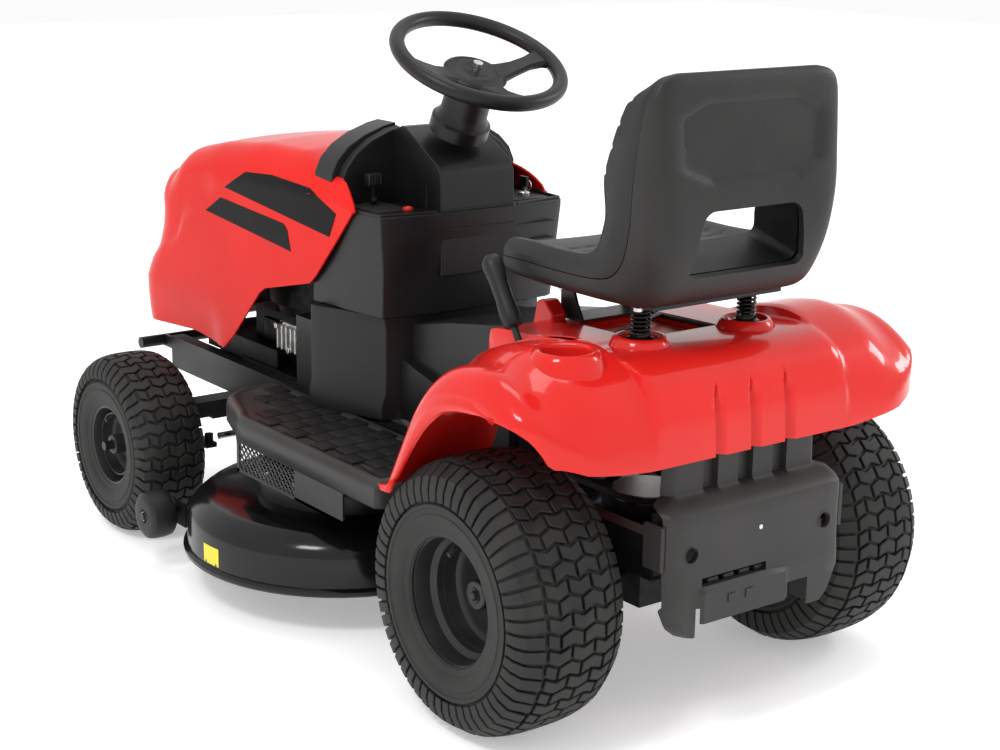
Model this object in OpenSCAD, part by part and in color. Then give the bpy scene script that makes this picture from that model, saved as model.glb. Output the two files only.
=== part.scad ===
// Lawn tractor with a side-discharge deck. Millimetres, +Z up, front towards -Y, +X on the driver's left.
// The origin is on the ground, on the mid plane, halfway along the machine.

/* [Chassis] */
// Distance between the two axles
wheelbase = 1190; // [1188:1:1192]
// How far the rear axle lies behind the origin
axle_y = 612; // [604:1:620]
// Outside width over the two frame rails
frame_w = 380; // [378:1:382]
// Height of the rails' top face
rail_top = 345; // [344:1:346]

/* [Wheels] */
// Rear tyre radius
rear_r = 227; // [225:1:227]
// Rear tyre width
rear_w = 208; // [206:1:208]
// Distance of a rear tyre's middle from the mid plane
rear_x = 337.7; // [337:0.1:339]
// Front tyre radius
front_r = 186.8; // [185:0.1:187]
// Front tyre width
front_w = 150; // [148:1:150]
// Distance of a front tyre's middle from the mid plane
front_x = 379.6; // [379:0.1:380]

/* [Steering] */
// Steering wheel radius, to the outside of the rim
wheel_r = 168; // [160:1:170]
// Lean of the steering column from upright
column_tilt = 25; // [24:1:26]
// Distance of a kingpin from the mid plane
kingpin_x = 275; // [274:1:276]
// Length of a steering arm
arm_len = 92; // [90:1:93]

/* [Deck] */
// Radius of the deck's round ends
deck_r = 306; // [304:1:308]
// Distance of each round end's centre from the mid plane
deck_cx = 194; // [193:1:195]
// Distance of the deck's middle ahead of the rear axle
deck_y = 680; // [678:1:682]
// Height of the deck's rim in the highest setting
deck_z = 80; // [78:1:82]
// Radius swept by a blade tip
blade_r = 240; // [236:1:241]

/* [Body] */
// Half width of the hood
hood_half = 227; // [226:1:228]
// Half width over the rear fenders
fender_half = 438; // [436:1:440]
// Wall of the moulded panels
wall = 4; // [3.5:0.1:4]
// Half width of the seat
seat_half = 205; // [200:1:208]

/* [Fits] */
// Radial clearance of a running fit
run = 0.05; // [0.03:0.01:0.08]
// Radius of the tow hole
tow_r = 8; // [7:0.5:9]
// Radius of the two holes for the grass box
box_hole_r = 13; // [12:0.5:14]

/* [Hidden] */
$fn = 48;

red = "crimson";
front_y = -wheelbase;            // front axle, measured from the rear axle
rail_h = 70;                     // height of a frame rail
rail_z = rail_top - rail_h;      // underside of the rails
rail_in = frame_w / 2 - 30;      // inner edge of a rail's flanges
wheel_c = [-517, 1012];          // steering wheel centre, as y and z
pivot_z = 232;                   // axle beam's pivot height
beam_h = 40;                     // axle beam height
stub_r = 9.5;                    // front stub axle
shaft_r = 10;                    // rear axle and blade shafts
blade_x = blade_r + 4;           // blade shafts, from the mid plane
blade_dy = 18;                   // each blade shaft ahead of or behind the deck's middle
seat_pin = [-165, 668];          // seat hinge, as y and z
hood_pin = [-1460, 400];         // hood hinge, as y and z
lever_pin = [232, -20, 505];     // height lever pivot
roller_c = [470, -933, 115];     // deck roller centre
guard_pin = [-405, 203];         // discharge guard hinge, as x and z

// Places a part that is drawn from the rear axle in the machine's own frame
module place() translate([0, axle_y, 0]) children();

// Left and right copies
module both() { children(); mirror([1, 0, 0]) children(); }

// Extrudes an outline given as y and z along X, centred on the mid plane
module side(w) rotate([90, 0, 90]) translate([0, 0, -w / 2]) linear_extrude(w) children();

// Extrudes an outline given as x and z from y0 towards the front by d
module face(y0, d) translate([0, y0, 0]) rotate([90, 0, 0]) linear_extrude(d) children();

// Extrudes an outline given as x and y from z0 upwards by h
module plan(z0, h) translate([0, 0, z0]) linear_extrude(h) children();

// Box between two corners
module block(a, b) translate(a) cube(b - a);

// Rod along X, Y or Z between two places on that axis
module rod_x(x0, x1, y, z, r) translate([x0, y, z]) rotate([0, 90, 0]) cylinder(r = r, h = x1 - x0);
module rod_y(y0, y1, x, z, r) translate([x, y0, z]) rotate([-90, 0, 0]) cylinder(r = r, h = y1 - y0);
module rod_z(z0, z1, x, y, r) translate([x, y, z0]) cylinder(r = r, h = z1 - z0);

// Points of an arc in a plane
function arc(c, r, a0, a1, n = 6) =
    [for (i = [0 : n]) let (a = a0 + (a1 - a0) * i / n) [c[0] + r * cos(a), c[1] + r * sin(a)]];

// Everything on the steering column is drawn along Z from the wheel's centre
module column() translate([0, wheel_c[0], wheel_c[1]]) rotate([-column_tilt, 0, 0]) children();

// ---------- chassis ----------

module rail() {
    web = 6;
    block([frame_w / 2 - web, front_y - 205, rail_z], [frame_w / 2, 205, rail_top]);
    for (z = [rail_z, rail_top - web])
        block([rail_in, front_y - 205, z], [frame_w / 2 - web, 205, z + web]);
}

module frame_rail_left() color("dimgray") place() rail();
module frame_rail_right() color("dimgray") place() mirror([1, 0, 0]) rail();

// Two cross plates between the rails, which hold the pin that the front axle rocks on
module axle_carrier() color("dimgray") place() {
    for (y = [front_y - 40, front_y + 34])
        difference() {
            union() {
                block([-rail_in, y, rail_z], [rail_in, y + 6, rail_top]);
                block([-45, y, pivot_z - 30], [45, y + 6, rail_z]);
            }
        }
    rod_y(front_y - 46, front_y + 46, 0, pivot_z, shaft_r);
}

module hitch_plate() color("dimgray") place() {
    plate = 6;
    tongue_y = 292;
    difference() {
        union() {
            block([-rail_in, 190, rail_z], [rail_in, 190 + plate, rail_top]);
            block([-60, 190, 236], [60, 190 + plate, rail_z]);
            block([-60, 190, 230], [60, tongue_y, 236]);
        }
        rod_z(220, 250, 0, tongue_y - 19, tow_r);
    }
}

module front_bumper() color("dimgray") place() {
    tube_y = -1446;
    tube_z = 325;
    rod_x(-240, 240, tube_y, tube_z, 12.5);
    both() block([178, tube_y, tube_z - 13], [184, -1300, tube_z + 13]);
}

// ---------- engine and drive ----------

module engine_block() color("silver") place() {
    case_z = rail_top + 8;
    cy = -1010;
    difference() {
        union() {
            block([-165, cy - 110, rail_top], [165, cy + 110, case_z]);
            rod_z(case_z, 480, 0, cy, 125);
            block([-105, cy - 120, case_z], [125, cy + 115, 460]);
            block([-55, cy - 180, 375], [55, cy - 110, 465]);
            for (i = [0 : 5])
                block([-65, cy - 180 + i * 11, 368], [65, cy - 176 + i * 11, 472]);
        }
        rod_z(300, 400, 0, cy, 14 + run);
    }
}

module engine_cowl() color("dimgray") place() {
    cy = -1010;
    difference() {
        union() {
            rod_z(481, 560, 0, cy, 138);
            translate([0, cy, 560]) cylinder(r1 = 138, r2 = 100, h = 40);
            block([-195, cy - 70, 500], [-120, cy + 70, 590]);
        }
        rod_z(480, 556, 0, cy, 132);
    }
}

module muffler() color("silver") place() {
    my = -1320;
    rod_x(-95, 95, my, 440, 46);
    for (x = [-60, 60]) rod_z(rail_top, 400, x, my, 9);
    block([-110, my - 30, rail_top - 6], [110, my + 30, rail_top]);
    rod_x(95, 150, my, 430, 14);
}

module fuel_tank() color("white") place() {
    block([-185, -865, 560], [-40, -745, 690]);
    rod_z(690, 722, -112, -805, 32);
}

module battery() color("black") place() {
    block([60, -860, rail_top], [188, -735, 495]);
    for (x = [85, 163]) rod_z(495, 508, x, -760, 8);
}

module transaxle() color("silver") place() {
    axle_z = rear_r;
    difference() {
        union() {
            block([-95, -75, 165], [95, 75, 290]);
            block([-60, -70, 290], [60, 60, 318]);
            rod_x(-225, 225, 0, axle_z, 30);
        }
        rod_x(-230, 230, 0, axle_z, shaft_r + run);
    }
}

module belt_loop(grow) {
    ends = [[-1010, 55], [-20, 70]];
    square_w = 2 * (62 + grow);
    for (e = ends) translate([0, e[0]]) circle(r = 62 + grow);
    translate([-square_w / 2, ends[0][0]]) square([square_w, ends[1][0] - ends[0][0]]);
}

module drive_belt() color("black") place() plan(322, 9) difference() {
    belt_loop(0);
    belt_loop(-7);
}

// Engine and transaxle pulleys on their shafts
module drive_pulleys() color("silver") place() {
    for (y = [-1010, -20]) {
        rod_z(321.5, 331.5, 0, y, 54);
        rod_z(331.5, 334, 0, y, 60);
        rod_z(318.5, 321.5, 0, y, 60);
    }
    rod_z(255, 352, 0, -1010, 14);
    rod_z(262, 280, 0, -1010, 50);
}

// ---------- bodywork that stays with the chassis ----------

// Lower console outline in plan, wide at the hood and narrow at the driver's shins
function low_plan(t) = [[236 - t, -725 + t], [184 - t, -560], [132 - t, -535 - t], [-132 + t, -535 - t],
    [-184 + t, -560], [-236 + t, -725 + t]];
function tray_plan(t) = [[214 - t, -742 + t], [214 - t, -600], [205 - t, -527 - t], [88, -512 - t],
    [-88, -512 - t], [-205 + t, -527 - t], [-214 + t, -600], [-214 + t, -742 + t]];
// Tunnel between the footrests and binnacle over the dash, as y and z
function tunnel_side(t) = [[-600, 351], [-600, 520 - t], [-420, 558 - t], [-212 - t, 590 - t],
    [-206 - t, 500], [-206 - t, 351]];
function binnacle_side(t) = [[-742 + t, 740], [-742 + t, 835 - t], [-645, 884 - t], [-524 - t, 818 - t],
    [-516 - t, 740]];

module console_form(t, z_low) {
    plan(z_low, 545 - z_low) polygon(low_plan(t));
    hull_z = 545 - 1;
    plan(hull_z, 740 - t - hull_z) polygon(tray_plan(t));
    side(2 * (132 - t)) polygon(tunnel_side(t));
    side(2 * (84 - t)) polygon(binnacle_side(t));
    face(-665, 77 - t) polygon([[-205 + t, 730], [-205 + t, 808 - t], [-80, 868 - t], [80, 868 - t],
        [205 - t, 808 - t], [205 - t, 730]]);
}

module console() color("dimgray") place() difference() {
    console_form(0, 350);
    translate([0, 0, -0.5]) console_form(wall, 340);
    column() cylinder(r = 30, h = 900, center = true);
    block([96, -700, 736], [196, -545, 741]);
    block([-205, -700, 736], [-96, -545, 741]);
    block([-180, -760, 560], [180, -735, 720]);
    block([-25, -760, 500], [25, -715, 600]);
}

module column_shroud() color("dimgray") place() column() difference() {
    union() {
        translate([0, 0, -118]) cylinder(r = 44, h = 78);
        translate([0, 0, -40]) cylinder(r1 = 44, r2 = 34, h = 14);
        translate([0, 0, -126]) cylinder(r = 52, h = 8);
    }
    translate([0, 0, -127]) cylinder(r = 30, h = 102);
}

footrest_plan = concat([[194, -252], [397, -252], [397, -700]],
    arc([322, -715], 75, 0, -38), arc([240, -790], 130, -38, -82), [[194, -928]]);

module footrest() {
    plan(rail_top + 1, 4) polygon(footrest_plan);
    difference() {
        plan(302, 44) polygon(footrest_plan);
        plan(300, 50) offset(delta = -wall) polygon(footrest_plan);
        block([190, -935, 300], [190 + 30, -245, 352]);
    }
}

module footrest_left() color("dimgray") place() footrest();
module footrest_right() color("dimgray") place() mirror([1, 0, 0]) footrest();

module foot_mats() color("black") place() both() {
    pitch_x = 42;
    pitch_y = 50;
    plan(rail_top + 5, 3) polygon([[250, -275], [384, -275], [384, -700], [370, -745], [322, -800], [262, -800]]);
    for (row = [0 : 8], col = [0 : 2])
        block([257 + col * pitch_x, -690 + row * pitch_y, rail_top + 8],
            [257 + col * pitch_x + 36, -648 + row * pitch_y, rail_top + 10]);
}

module side_guard() difference() {
    block([386, -745, 242], [390, -372, 302]);
    for (i = [0 : 11], j = [0 : 2])
        translate([380, -725 + i * 17, 254 + j * 15]) cube([14, 9, 9]);
}

module side_guard_left() color("dimgray") place() side_guard();
module side_guard_right() color("dimgray") place() mirror([1, 0, 0]) side_guard();

// Fender outline as y and z
function fender_side(t) = [[-188 + t, 371], [-186 + t, 384], [-124 + t, 486 - t], [-40 + t / 2, 596 - t],
    [20, 626 - t], [62, 636 - t], [104 - t / 2, 631 - t], [150 - t, 612 - t], [195 - t, 582 - t],
    [232 - t, 538 - t], [258 - t, 496], [258 - t, 371]];
// Opening over the tyre, which follows it at a steady gap
wheel_arch = concat([[-250, 300], [-172, 300]],
    arc([35, 250], 290, 148, 88), [[272, 528], [315, 520], [315, 300]]);
function seat_base_side(t) = [[-204 + t, 480], [-204 + t, 596 - t], [-180, 606 - t], [60, 618 - t],
    [140, 620 - t], [200 - t / 2, 604 - t], [236 - t, 574 - t], [258 - t, 524], [262 - t, 480]];
function body_plan(t) = concat([[205, -204 + t]], [[205, -230]], [[fender_half - t, -230]],
    arc([fender_half - t - 70, 192 - t], 70, 0, 90), arc([-fender_half + t + 70, 192 - t], 70, 90, 180),
    [[-fender_half + t, -230], [-205, -230], [-205, -204 + t]]);

module body_form(t) intersection() {
    union() {
        both() translate([(fender_half + 205) / 2, 0, 0])
            side(fender_half - 205 + (t == 0 ? 0 : 12)) polygon(fender_side(t));
        side(2 * 206) polygon(seat_base_side(t));
    }
    plan(300, 400) polygon(body_plan(t));
}

module rear_body() color(red) place() difference() {
    union() {
        difference() {
            body_form(0);
            translate([0, 0, -0.01]) body_form(wall);
            both() translate([fender_half, 0, 0]) side(90) polygon(wheel_arch);
            block([-372, 240, 300], [372, 270, 490]);
            both() block([372, 200, 300], [fender_half, 270, 522]);
            both() block([209, -230, 300], [378, -150, 470]);
            both() block([205, -195, 300], [209, 240, 480]);
        }
        both() rod_z(606, 625, 116, 78, 40);
        cup();
    }
    // cup holder, lever slot and the middle of the two spring cups
    rod_z(554, 700, cup_c[0], cup_c[1], cup_r);
    block([lever_pin[0] - 9, -150, 540], [lever_pin[0] + 9, 52, 660]);
    both() rod_z(590, 640, 116, 78, 6.5);
}

cup_c = [285, 100];
cup_r = 38;
module cup() difference() {
    intersection() {
        rod_z(548, 660, cup_c[0], cup_c[1], cup_r + wall);
        translate([cup_c[0], 0, 0]) side(100) polygon(fender_side(0));
    }
    rod_z(554, 680, cup_c[0], cup_c[1], cup_r);
}

cover_outline = concat([[-162, 486], [-162, 404], [-193, 396], [-193, 230], [-176, 186], [-120, 186],
    [-112, 222], [-70, 222], [-70, 262], [70, 262], [70, 222], [112, 222], [120, 186], [176, 186],
    [193, 230], [193, 396], [162, 404], [162, 486]]);

module rear_cover() color("dimgray") place() difference() {
    union() {
        face(249, wall) polygon(cover_outline);
        both() block([189, 212, 232], [193, 249, 394]);
        both() block([158, 206, 406], [162, 249, 484]);
    }
    both() rod_y(240, 255, 147, 322, box_hole_r);
    rod_y(240, 255, 0, 340, 4);
}

// Ears that the seat tips on, with the hinge pin and the plate below them
module seat_bracket() color("dimgray") place() {
    block([-75, -178, 609.2], [75, -120, 613]);
    for (x = [-66, 60]) block([x, -180, 612], [x + 6, -150, seat_pin[1] + 12]);
    rod_x(-72, 72, seat_pin[0], seat_pin[1], 6);
}

// ---------- hood ----------

function hood_side(t) = [[-592 - 2 * t, 743], [-666 - t, 660 + t / 2], [-737 - t, 585], [-926 - t, 540], [-1055 - t, 411],
    [-1095, 386], [-1225, 396], [-1465, 378], [-1504 + t, 384], [-1516 + t, 430], [-1506 + t, 480],
    [-1440 + t, 545], [-1418 + t, 640], [-1414 + t, 712], [-1378, 748 - t], [-1289, 776 - t],
    [-1145, 808 - t], [-986, 826 - t], [-745, 826 - t], [-640 - t, 788 - t]];
function hood_plan(t) = concat([[hood_half - t, -560], [hood_half - t, -1250]],
    arc([hood_half - t - 150, -1380 + t], 138, 0, -78), arc([-hood_half + t + 150, -1380 + t], 138, 258, 180),
    [[-hood_half + t, -1250], [-hood_half + t, -560]]);
function hood_front(t) = [[hood_half - t, 370], [hood_half - t, 730], [hood_half - 20 - t, 786 - t],
    [hood_half - 62 - t, 826 - t], [-hood_half + 62 + t, 826 - t], [-hood_half + 20 + t, 786 - t],
    [-hood_half + t, 730], [-hood_half + t, 370]];

module hood_form(t) intersection() {
    side(2 * hood_half) polygon(hood_side(t));
    plan(360, 500) polygon(hood_plan(t));
    face(-540, 1000) polygon(hood_front(t));
}

grille_w = 300;
light_z = [560, 668];

module hood_shell() color(red) place() difference() {
    hood_form(0);
    hood_form(wall);
    // under side, rear end and the space over the dash
    side(2 * (hood_half - wall)) polygon([[-540, 760], [-600, 735], [-672, 652], [-742, 578], [-930, 534],
        [-1060, 400], [-1090, 350], [-1490, 350], [-1490, 388], [-1225, 405], [-1095, 395], [-1052, 425],
        [-920, 552], [-735, 600], [-660, 680], [-590, 765]]);
    block([-hood_half + wall, -746, 600], [hood_half - wall, -560, 840]);
    // openings for the grille and the headlights
    block([-grille_w / 2, -1540, 590], [grille_w / 2, -1380, 690]);
}

module hood_grille() color("black") place() {
    bar = 8;
    for (i = [0 : 3]) block([-60, -1410, 598 + i * 22], [60, -1400, 606 + i * 22]);
    for (x = [-60, 54]) block([x, -1400, 590], [x + 6, -1392, 690]);
}

module headlights() color("white") place() both()
    block([66, -1410, 596], [grille_w / 2 - 6, -1398, 684]);

// Two slanted dark panels on each flank
trim_outline = [[[-760, 700], [-1010, 735], [-1060, 690], [-820, 655]], [[-700, 655], [-1000, 682], [-1030, 650], [-730, 610]]];
module hood_trim() color("black") place() both()
    for (o = trim_outline) translate([hood_half + 1, 0, 0]) side(2) polygon(o);

// ---------- seat ----------

seat_shell_side = [[-176, 694], [150, 690], [206, 706], [214, 760], [196, 900], [190, 1036], [176, 1040],
    [164, 1000], [150, 880], [128, 780], [96, 724], [-176, 716]];
seat_pad_side = concat([[-176, 718], [94, 726], [124, 782], [146, 882], [160, 1002], [172, 1040], [166, 1044]],
    [[146, 1036], [126, 960], [104, 860], [84, 790], [40, 762], [-60, 756], [-150, 760]],
    arc([-168, 742], 18, 80, 240));
seat_wing_side = [[20, 762], [40, 763], [84, 791], [104, 861], [126, 961], [120, 962], [70, 900], [40, 830]];
window_z = [800, 870];

module seat_shell() color("dimgray") place() difference() {
    union() {
        side(2 * seat_half - 12) polygon(seat_shell_side);
        both() block([52, -176, seat_pin[1] - 12], [58, -150, 694]);
    }
    block([-130, 60, window_z[0]], [130, 260, window_z[1]]);
    rod_x(-100, 100, seat_pin[0], seat_pin[1], 6 + run);
}

module seat_cushion() color("black") place() difference() {
    union() {
        side(2 * seat_half - 10) polygon(seat_pad_side);
        both() translate([seat_half - 26, 0, 0]) side(36) polygon(seat_wing_side);
    }
    block([-130, 60, window_z[0]], [130, 260, window_z[1]]);
}

// Coil springs shown as a core tube with rings
module seat_springs() color("black") place() both() translate([116, 78, 0]) {
    turns = 6;
    difference() {
        union() {
            translate([0, 0, 626]) cylinder(r = 12, h = 64);
            for (i = [0 : turns - 1]) translate([0, 0, 630 + i * 10]) cylinder(r = 16, h = 5);
            translate([0, 0, 684]) cylinder(r = 30, h = 6);
        }
        translate([0, 0, 620]) cylinder(r = 8, h = 60);
    }
}

// ---------- steering ----------

module steering_wheel() color("black") place() column() {
    rim_r = 14;
    hub_r = 46;
    rotate_extrude() translate([wheel_r - rim_r, 0]) circle(r = rim_r);
    difference() {
        union() {
            translate([0, 0, -24]) cylinder(r1 = 34, r2 = hub_r, h = 14);
            translate([0, 0, -10]) cylinder(r = hub_r, h = 14);
            for (a = [90, 210, 330]) rotate([0, 0, a])
                translate([hub_r - 8, -16, -8]) cube([wheel_r - hub_r - rim_r, 32, 10]);
        }
        translate([0, 0, -25]) cylinder(r = 9, h = 20);
    }
}

module steering_shaft() color("silver") place() column() {
    translate([0, 0, -686]) cylinder(r = 9, h = 681);
    translate([0, 0, -686]) cylinder(r = 20, h = 22);
}

module axle_beam() color("dimgray") place() difference() {
    union() {
        block([-kingpin_x, front_y - 25, pivot_z - beam_h / 2], [kingpin_x, front_y + 25, pivot_z + beam_h / 2]);
        both() rod_z(208, 272, kingpin_x, front_y, 22);
    }
    rod_y(front_y - 60, front_y + 60, 0, pivot_z, shaft_r + run);
    both() rod_z(200, 280, kingpin_x, front_y, stub_r + run);
    both() block([kingpin_x - 60, front_y - 40, 200], [kingpin_x - 24, front_y + 40, 218]);
}

// Kingpin, stub axle and steering arm of the left front wheel
module spindle() {
    arm_end = [kingpin_x - 14, front_y + arm_len];
    difference() {
        union() {
            rod_z(164, 207.5, kingpin_x, front_y, 20);
            rod_z(207, 282, kingpin_x, front_y, stub_r);
            rod_z(272.5, 280, kingpin_x, front_y, 15);
            rod_x(kingpin_x, front_x + 76, front_y, front_r, stub_r);
            block([kingpin_x - 26, front_y, 176], [kingpin_x - 2, arm_end[1] + 12, 186]);
            rod_z(176, 204, arm_end[0], arm_end[1], 9);
        }
    }
}

module spindle_left() color("dimgray") place() spindle();
module spindle_right() color("dimgray") place() mirror([1, 0, 0]) spindle();

// The rod's forked ends leave room for the balls to swing
module tie_rod() color("silver") place() {
    y = front_y + arm_len;
    rod_x(-238, 238, y, 195, 7);
}

// ---------- wheels ----------

// Tyre and rim are drawn as radius and distance from the wheel's middle, then turned about X
module turned() rotate([0, 90, 0]) rotate_extrude($fn = 96) children();

function tyre_half(R, w, bead, s) = [[bead, s * w * 0.40], [bead + 18, s * w * 0.46], [R * 0.66, s * w * 0.5],
    [R * 0.80, s * w * 0.5], [R * 0.90, s * w * 0.475], [R * 0.955, s * w * 0.42], [R * 0.985, s * w * 0.32]];

module tyre(R, w, bead) difference() {
    turned() polygon(concat(tyre_half(R, w, bead, 1), [[R, w * 0.14], [R, -w * 0.14]],
        [for (i = [6 : -1 : 0]) tyre_half(R, w, bead, -1)[i]]));
    turned() polygon([[bead + 14, w * 0.3], [R * 0.72, w * 0.44], [R * 0.88, w * 0.38], [R * 0.93, w * 0.2],
        [R * 0.93, -w * 0.2], [R * 0.88, -w * 0.38], [R * 0.72, -w * 0.44], [bead + 14, -w * 0.3]]);
}

// Rim with a flange r_out, a well and a dish, drawn with the outer side towards +X
module rim(r_out, w, dish_x, bore_r, hub0, hub1) difference() {
    union() {
        turned_out = [[r_out - 13, -w / 2], [r_out, -w / 2], [r_out, -w / 2 + 5], [r_out - 9, -w / 2 + 7],
            [r_out - 22, -w / 4], [r_out - 22, w / 4], [r_out - 9, w / 2 - 7], [r_out, w / 2 - 5],
            [r_out, w / 2], [r_out - 13, w / 2], [r_out - 26, w / 4], [r_out - 26, -w / 4]];
        mirror([1, 0, 0]) turned() polygon(turned_out);
        translate([dish_x, 0, 0]) rotate([0, 90, 0]) cylinder(r = r_out - 23, h = 5);
        translate([hub0, 0, 0]) rotate([0, 90, 0]) cylinder(r = 26, h = hub1 - hub0);
    }
    if (bore_r > 0) translate([hub0 - 5, 0, 0]) rotate([0, 90, 0]) cylinder(r = bore_r, h = hub1 - hub0 + 10);
}

module rear_rim_assembly() {
    rim(116, 190, 20, 0, -95, 66);
    rotate([0, 90, 0]) translate([0, 0, -rear_x + 98]) cylinder(r = shaft_r, h = rear_x - 98);
}
module at_rear() translate([rear_x, 0, rear_r]) children();
module at_front() translate([front_x, front_y, front_r]) children();

module tyre_rear_left() color("black") place() at_rear() tyre(rear_r, rear_w, 108);
module tyre_rear_right() color("black") place() mirror([1, 0, 0]) at_rear() tyre(rear_r, rear_w, 108);
module tyre_front_left() color("black") place() at_front() tyre(front_r, front_w, 83);
module tyre_front_right() color("black") place() mirror([1, 0, 0]) at_front() tyre(front_r, front_w, 83);
module rim_rear_left() color("dimgray") place() at_rear() rear_rim_assembly();
module rim_rear_right() color("dimgray") place() mirror([1, 0, 0]) at_rear() rear_rim_assembly();
module rim_front_left() color("dimgray") place() at_front() rim(90.5, 140, 16, stub_r + run, -54, 62);
module rim_front_right() color("dimgray") place() mirror([1, 0, 0]) at_front()
    rim(90.5, 140, 16, stub_r + run, -54, 62);

// ---------- mowing deck ----------

// Stadium with its round ends at cx, lower radius r0 and upper radius r1
module stadium(cx, r0, r1, z, h) translate([0, -deck_y, z]) {
    for (s = [-1, 1]) translate([s * cx, 0, 0]) cylinder(r1 = r0, r2 = r1, h = h);
    rotate([90, 0, 90]) translate([0, 0, -cx])
        linear_extrude(2 * cx) polygon([[-r0, 0], [r0, 0], [r1, h], [-r1, h]]);
}

dome_z = 192;
module deck_shell() color("dimgray") place() difference() {
    union() {
        stadium(deck_cx, deck_r, deck_r, deck_z, 12);
        stadium(deck_cx, deck_r - 6, deck_r - 6, deck_z, 72);
        stadium(deck_cx, deck_r - 6, deck_r - 40, deck_z + 72, dome_z - deck_z - 72);
    }
    stadium(deck_cx, deck_r - 9, deck_r - 9, deck_z - 1, 73);
    stadium(deck_cx, deck_r - 9, deck_r - 43, deck_z + 71.9, dome_z - deck_z - 75);
    for (s = [-1, 1]) rod_z(150, 240, s * blade_x, -deck_y - s * blade_dy, 22);
    block([-560, -deck_y - 118, deck_z + 14], [-412, -deck_y + 118, 240]);
}

module belt_cover() color("black") place() difference() {
    stadium(170, 190, 168, dome_z, 44);
    stadium(170, 187, 165, dome_z - 1, 42);
    block([-157, -deck_y - 200, 180], [157, -deck_y + 200, 240]);
}

module blade_housings() color("silver") place() for (s = [-1, 1])
    translate([s * blade_x, -deck_y - s * blade_dy, 0]) difference() {
        union() {
            translate([0, 0, 150]) cylinder(r = 21.5, h = 50);
            translate([0, 0, 148]) cylinder(r = 50, h = 40.5);
        }
        translate([0, 0, 140]) cylinder(r = shaft_r + run, h = 70);
    }

module deck_hangers() color("dimgray") place() both() for (y = [-840, -530]) {
    block([148, y, dome_z], [152, y + 26, 262]);
    block([140, y, dome_z], [148, y + 26, dome_z + 4]);
}

module roller_bracket() color("dimgray") place() {
    x = 426;
    difference() {
        block([x, -958, 92], [x + 5, -884, 140]);
        block([x - 1, -970, 80], [x + 6, -940, 95]);
    }
    rod_x(x, roller_c[0] + 30, roller_c[1], roller_c[2], 8);
}

module blade(s) translate([s * blade_x, -deck_y - s * blade_dy, 0]) {
    difference() {
        union() {
            intersection() {
                rod_z(97, 101, 0, 0, blade_r);
                block([-26, -300, 90], [26, 300, 110]);
            }
            rod_z(88, 97, 0, 0, 14);
            rod_z(101, 222, 0, 0, shaft_r);
            rod_z(204, 220, 0, 0, 60);
        }
        rotate_extrude() translate([64, 212]) circle(r = 8);
    }
}

module blade_left() color("silver") place() blade(1);
module blade_right() color("silver") place() blade(-1);

module deck_roller() color("dimgray") place() difference() {
    rod_x(roller_c[0] - 29, roller_c[0] + 26, roller_c[1], roller_c[2], 47);
    rod_x(roller_c[0] - 40, roller_c[0] + 40, roller_c[1], roller_c[2], 8 + run);
}

module discharge_guard() color("black") place() {
    y0 = -deck_y - 112;
    len = 224;
    translate([guard_pin[0], y0, guard_pin[1]]) rotate([-90, 0, 0]) cylinder(r = 5, h = len);
    face(y0 + len, len) polygon([[guard_pin[0] - 2, guard_pin[1] + 5], [guard_pin[0] - 60, guard_pin[1] - 8],
        [-510, 98], [-506, 96], [guard_pin[0] - 58, guard_pin[1] - 12], [guard_pin[0] - 2, guard_pin[1] - 1]]);
}

// ---------- controls ----------

module height_lever() color("black") place() translate(lever_pin) {
    lean = 33;
    rotate([lean, 0, 0]) {
        cylinder(r = 6, h = 170);
        translate([0, 0, 152]) cylinder(r = 14, h = 112);
        translate([0, 0, 264]) cylinder(r1 = 14, r2 = 7, h = 10);
    }
    rotate([0, 90, 0]) cylinder(r = 12, h = 18, center = true);
}

throttle_c = [150, -640, 750];
module throttle_lever() color("black") place() translate(throttle_c) {
    rotate([0, 90, 0]) cylinder(r = 8, h = 10, center = true);
    translate([-3, -4, 0]) cube([6, 8, 34]);
    translate([-16, -8, 30]) cube([32, 16, 22]);
}

pto_c = [-150, -660, 741];
module pto_knob() color("gold") place() translate(pto_c) {
    cylinder(r = 7, h = 40);
    translate([0, 0, 34]) cylinder(r1 = 12, r2 = 19, h = 12);
    translate([0, 0, 46]) cylinder(r = 19, h = 6);
}

key_c = [-165, -590, 741];
module ignition_key() color("silver") place() translate(key_c) {
    cylinder(r = 11, h = 6);
    translate([-2, -8, 6]) cube([4, 16, 14]);
    translate([-4, -13, 18]) cube([8, 26, 22]);
}

module pedal(pin_y, plate_h, x0) {
    pin_z = rail_top + 30;
    translate([x0, pin_y, pin_z]) {
        rotate([0, 90, 0]) cylinder(r = 8, h = 90);
        rotate([-28, 0, 0]) translate([0, -4, 0]) cube([90, 8, plate_h]);
    }
}
brake_pin_y = -840;
drive_pin_y = -700;
module brake_pedal() color("dimgray") place() pedal(brake_pin_y, 95, -345);
module drive_pedal() color("dimgray") place() pedal(drive_pin_y, 70, -375);

frame_rail_left();
frame_rail_right();
axle_carrier();
hitch_plate();
front_bumper();
engine_block();
engine_cowl();
muffler();
fuel_tank();
battery();
transaxle();
drive_belt();
drive_pulleys();
console();
column_shroud();
footrest_left();
footrest_right();
foot_mats();
side_guard_left();
side_guard_right();
rear_body();
rear_cover();
seat_bracket();
hood_shell();
hood_grille();
headlights();
hood_trim();
seat_shell();
seat_cushion();
seat_springs();
steering_wheel();
steering_shaft();
axle_beam();
spindle_left();
spindle_right();
tie_rod();
tyre_front_left();
tyre_front_right();
tyre_rear_left();
tyre_rear_right();
rim_front_left();
rim_front_right();
rim_rear_left();
rim_rear_right();
deck_shell();
belt_cover();
blade_housings();
roller_bracket();
deck_hangers();
blade_left();
blade_right();
deck_roller();
discharge_guard();
height_lever();
throttle_lever();
pto_knob();
ignition_key();
brake_pedal();
drive_pedal();
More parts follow.
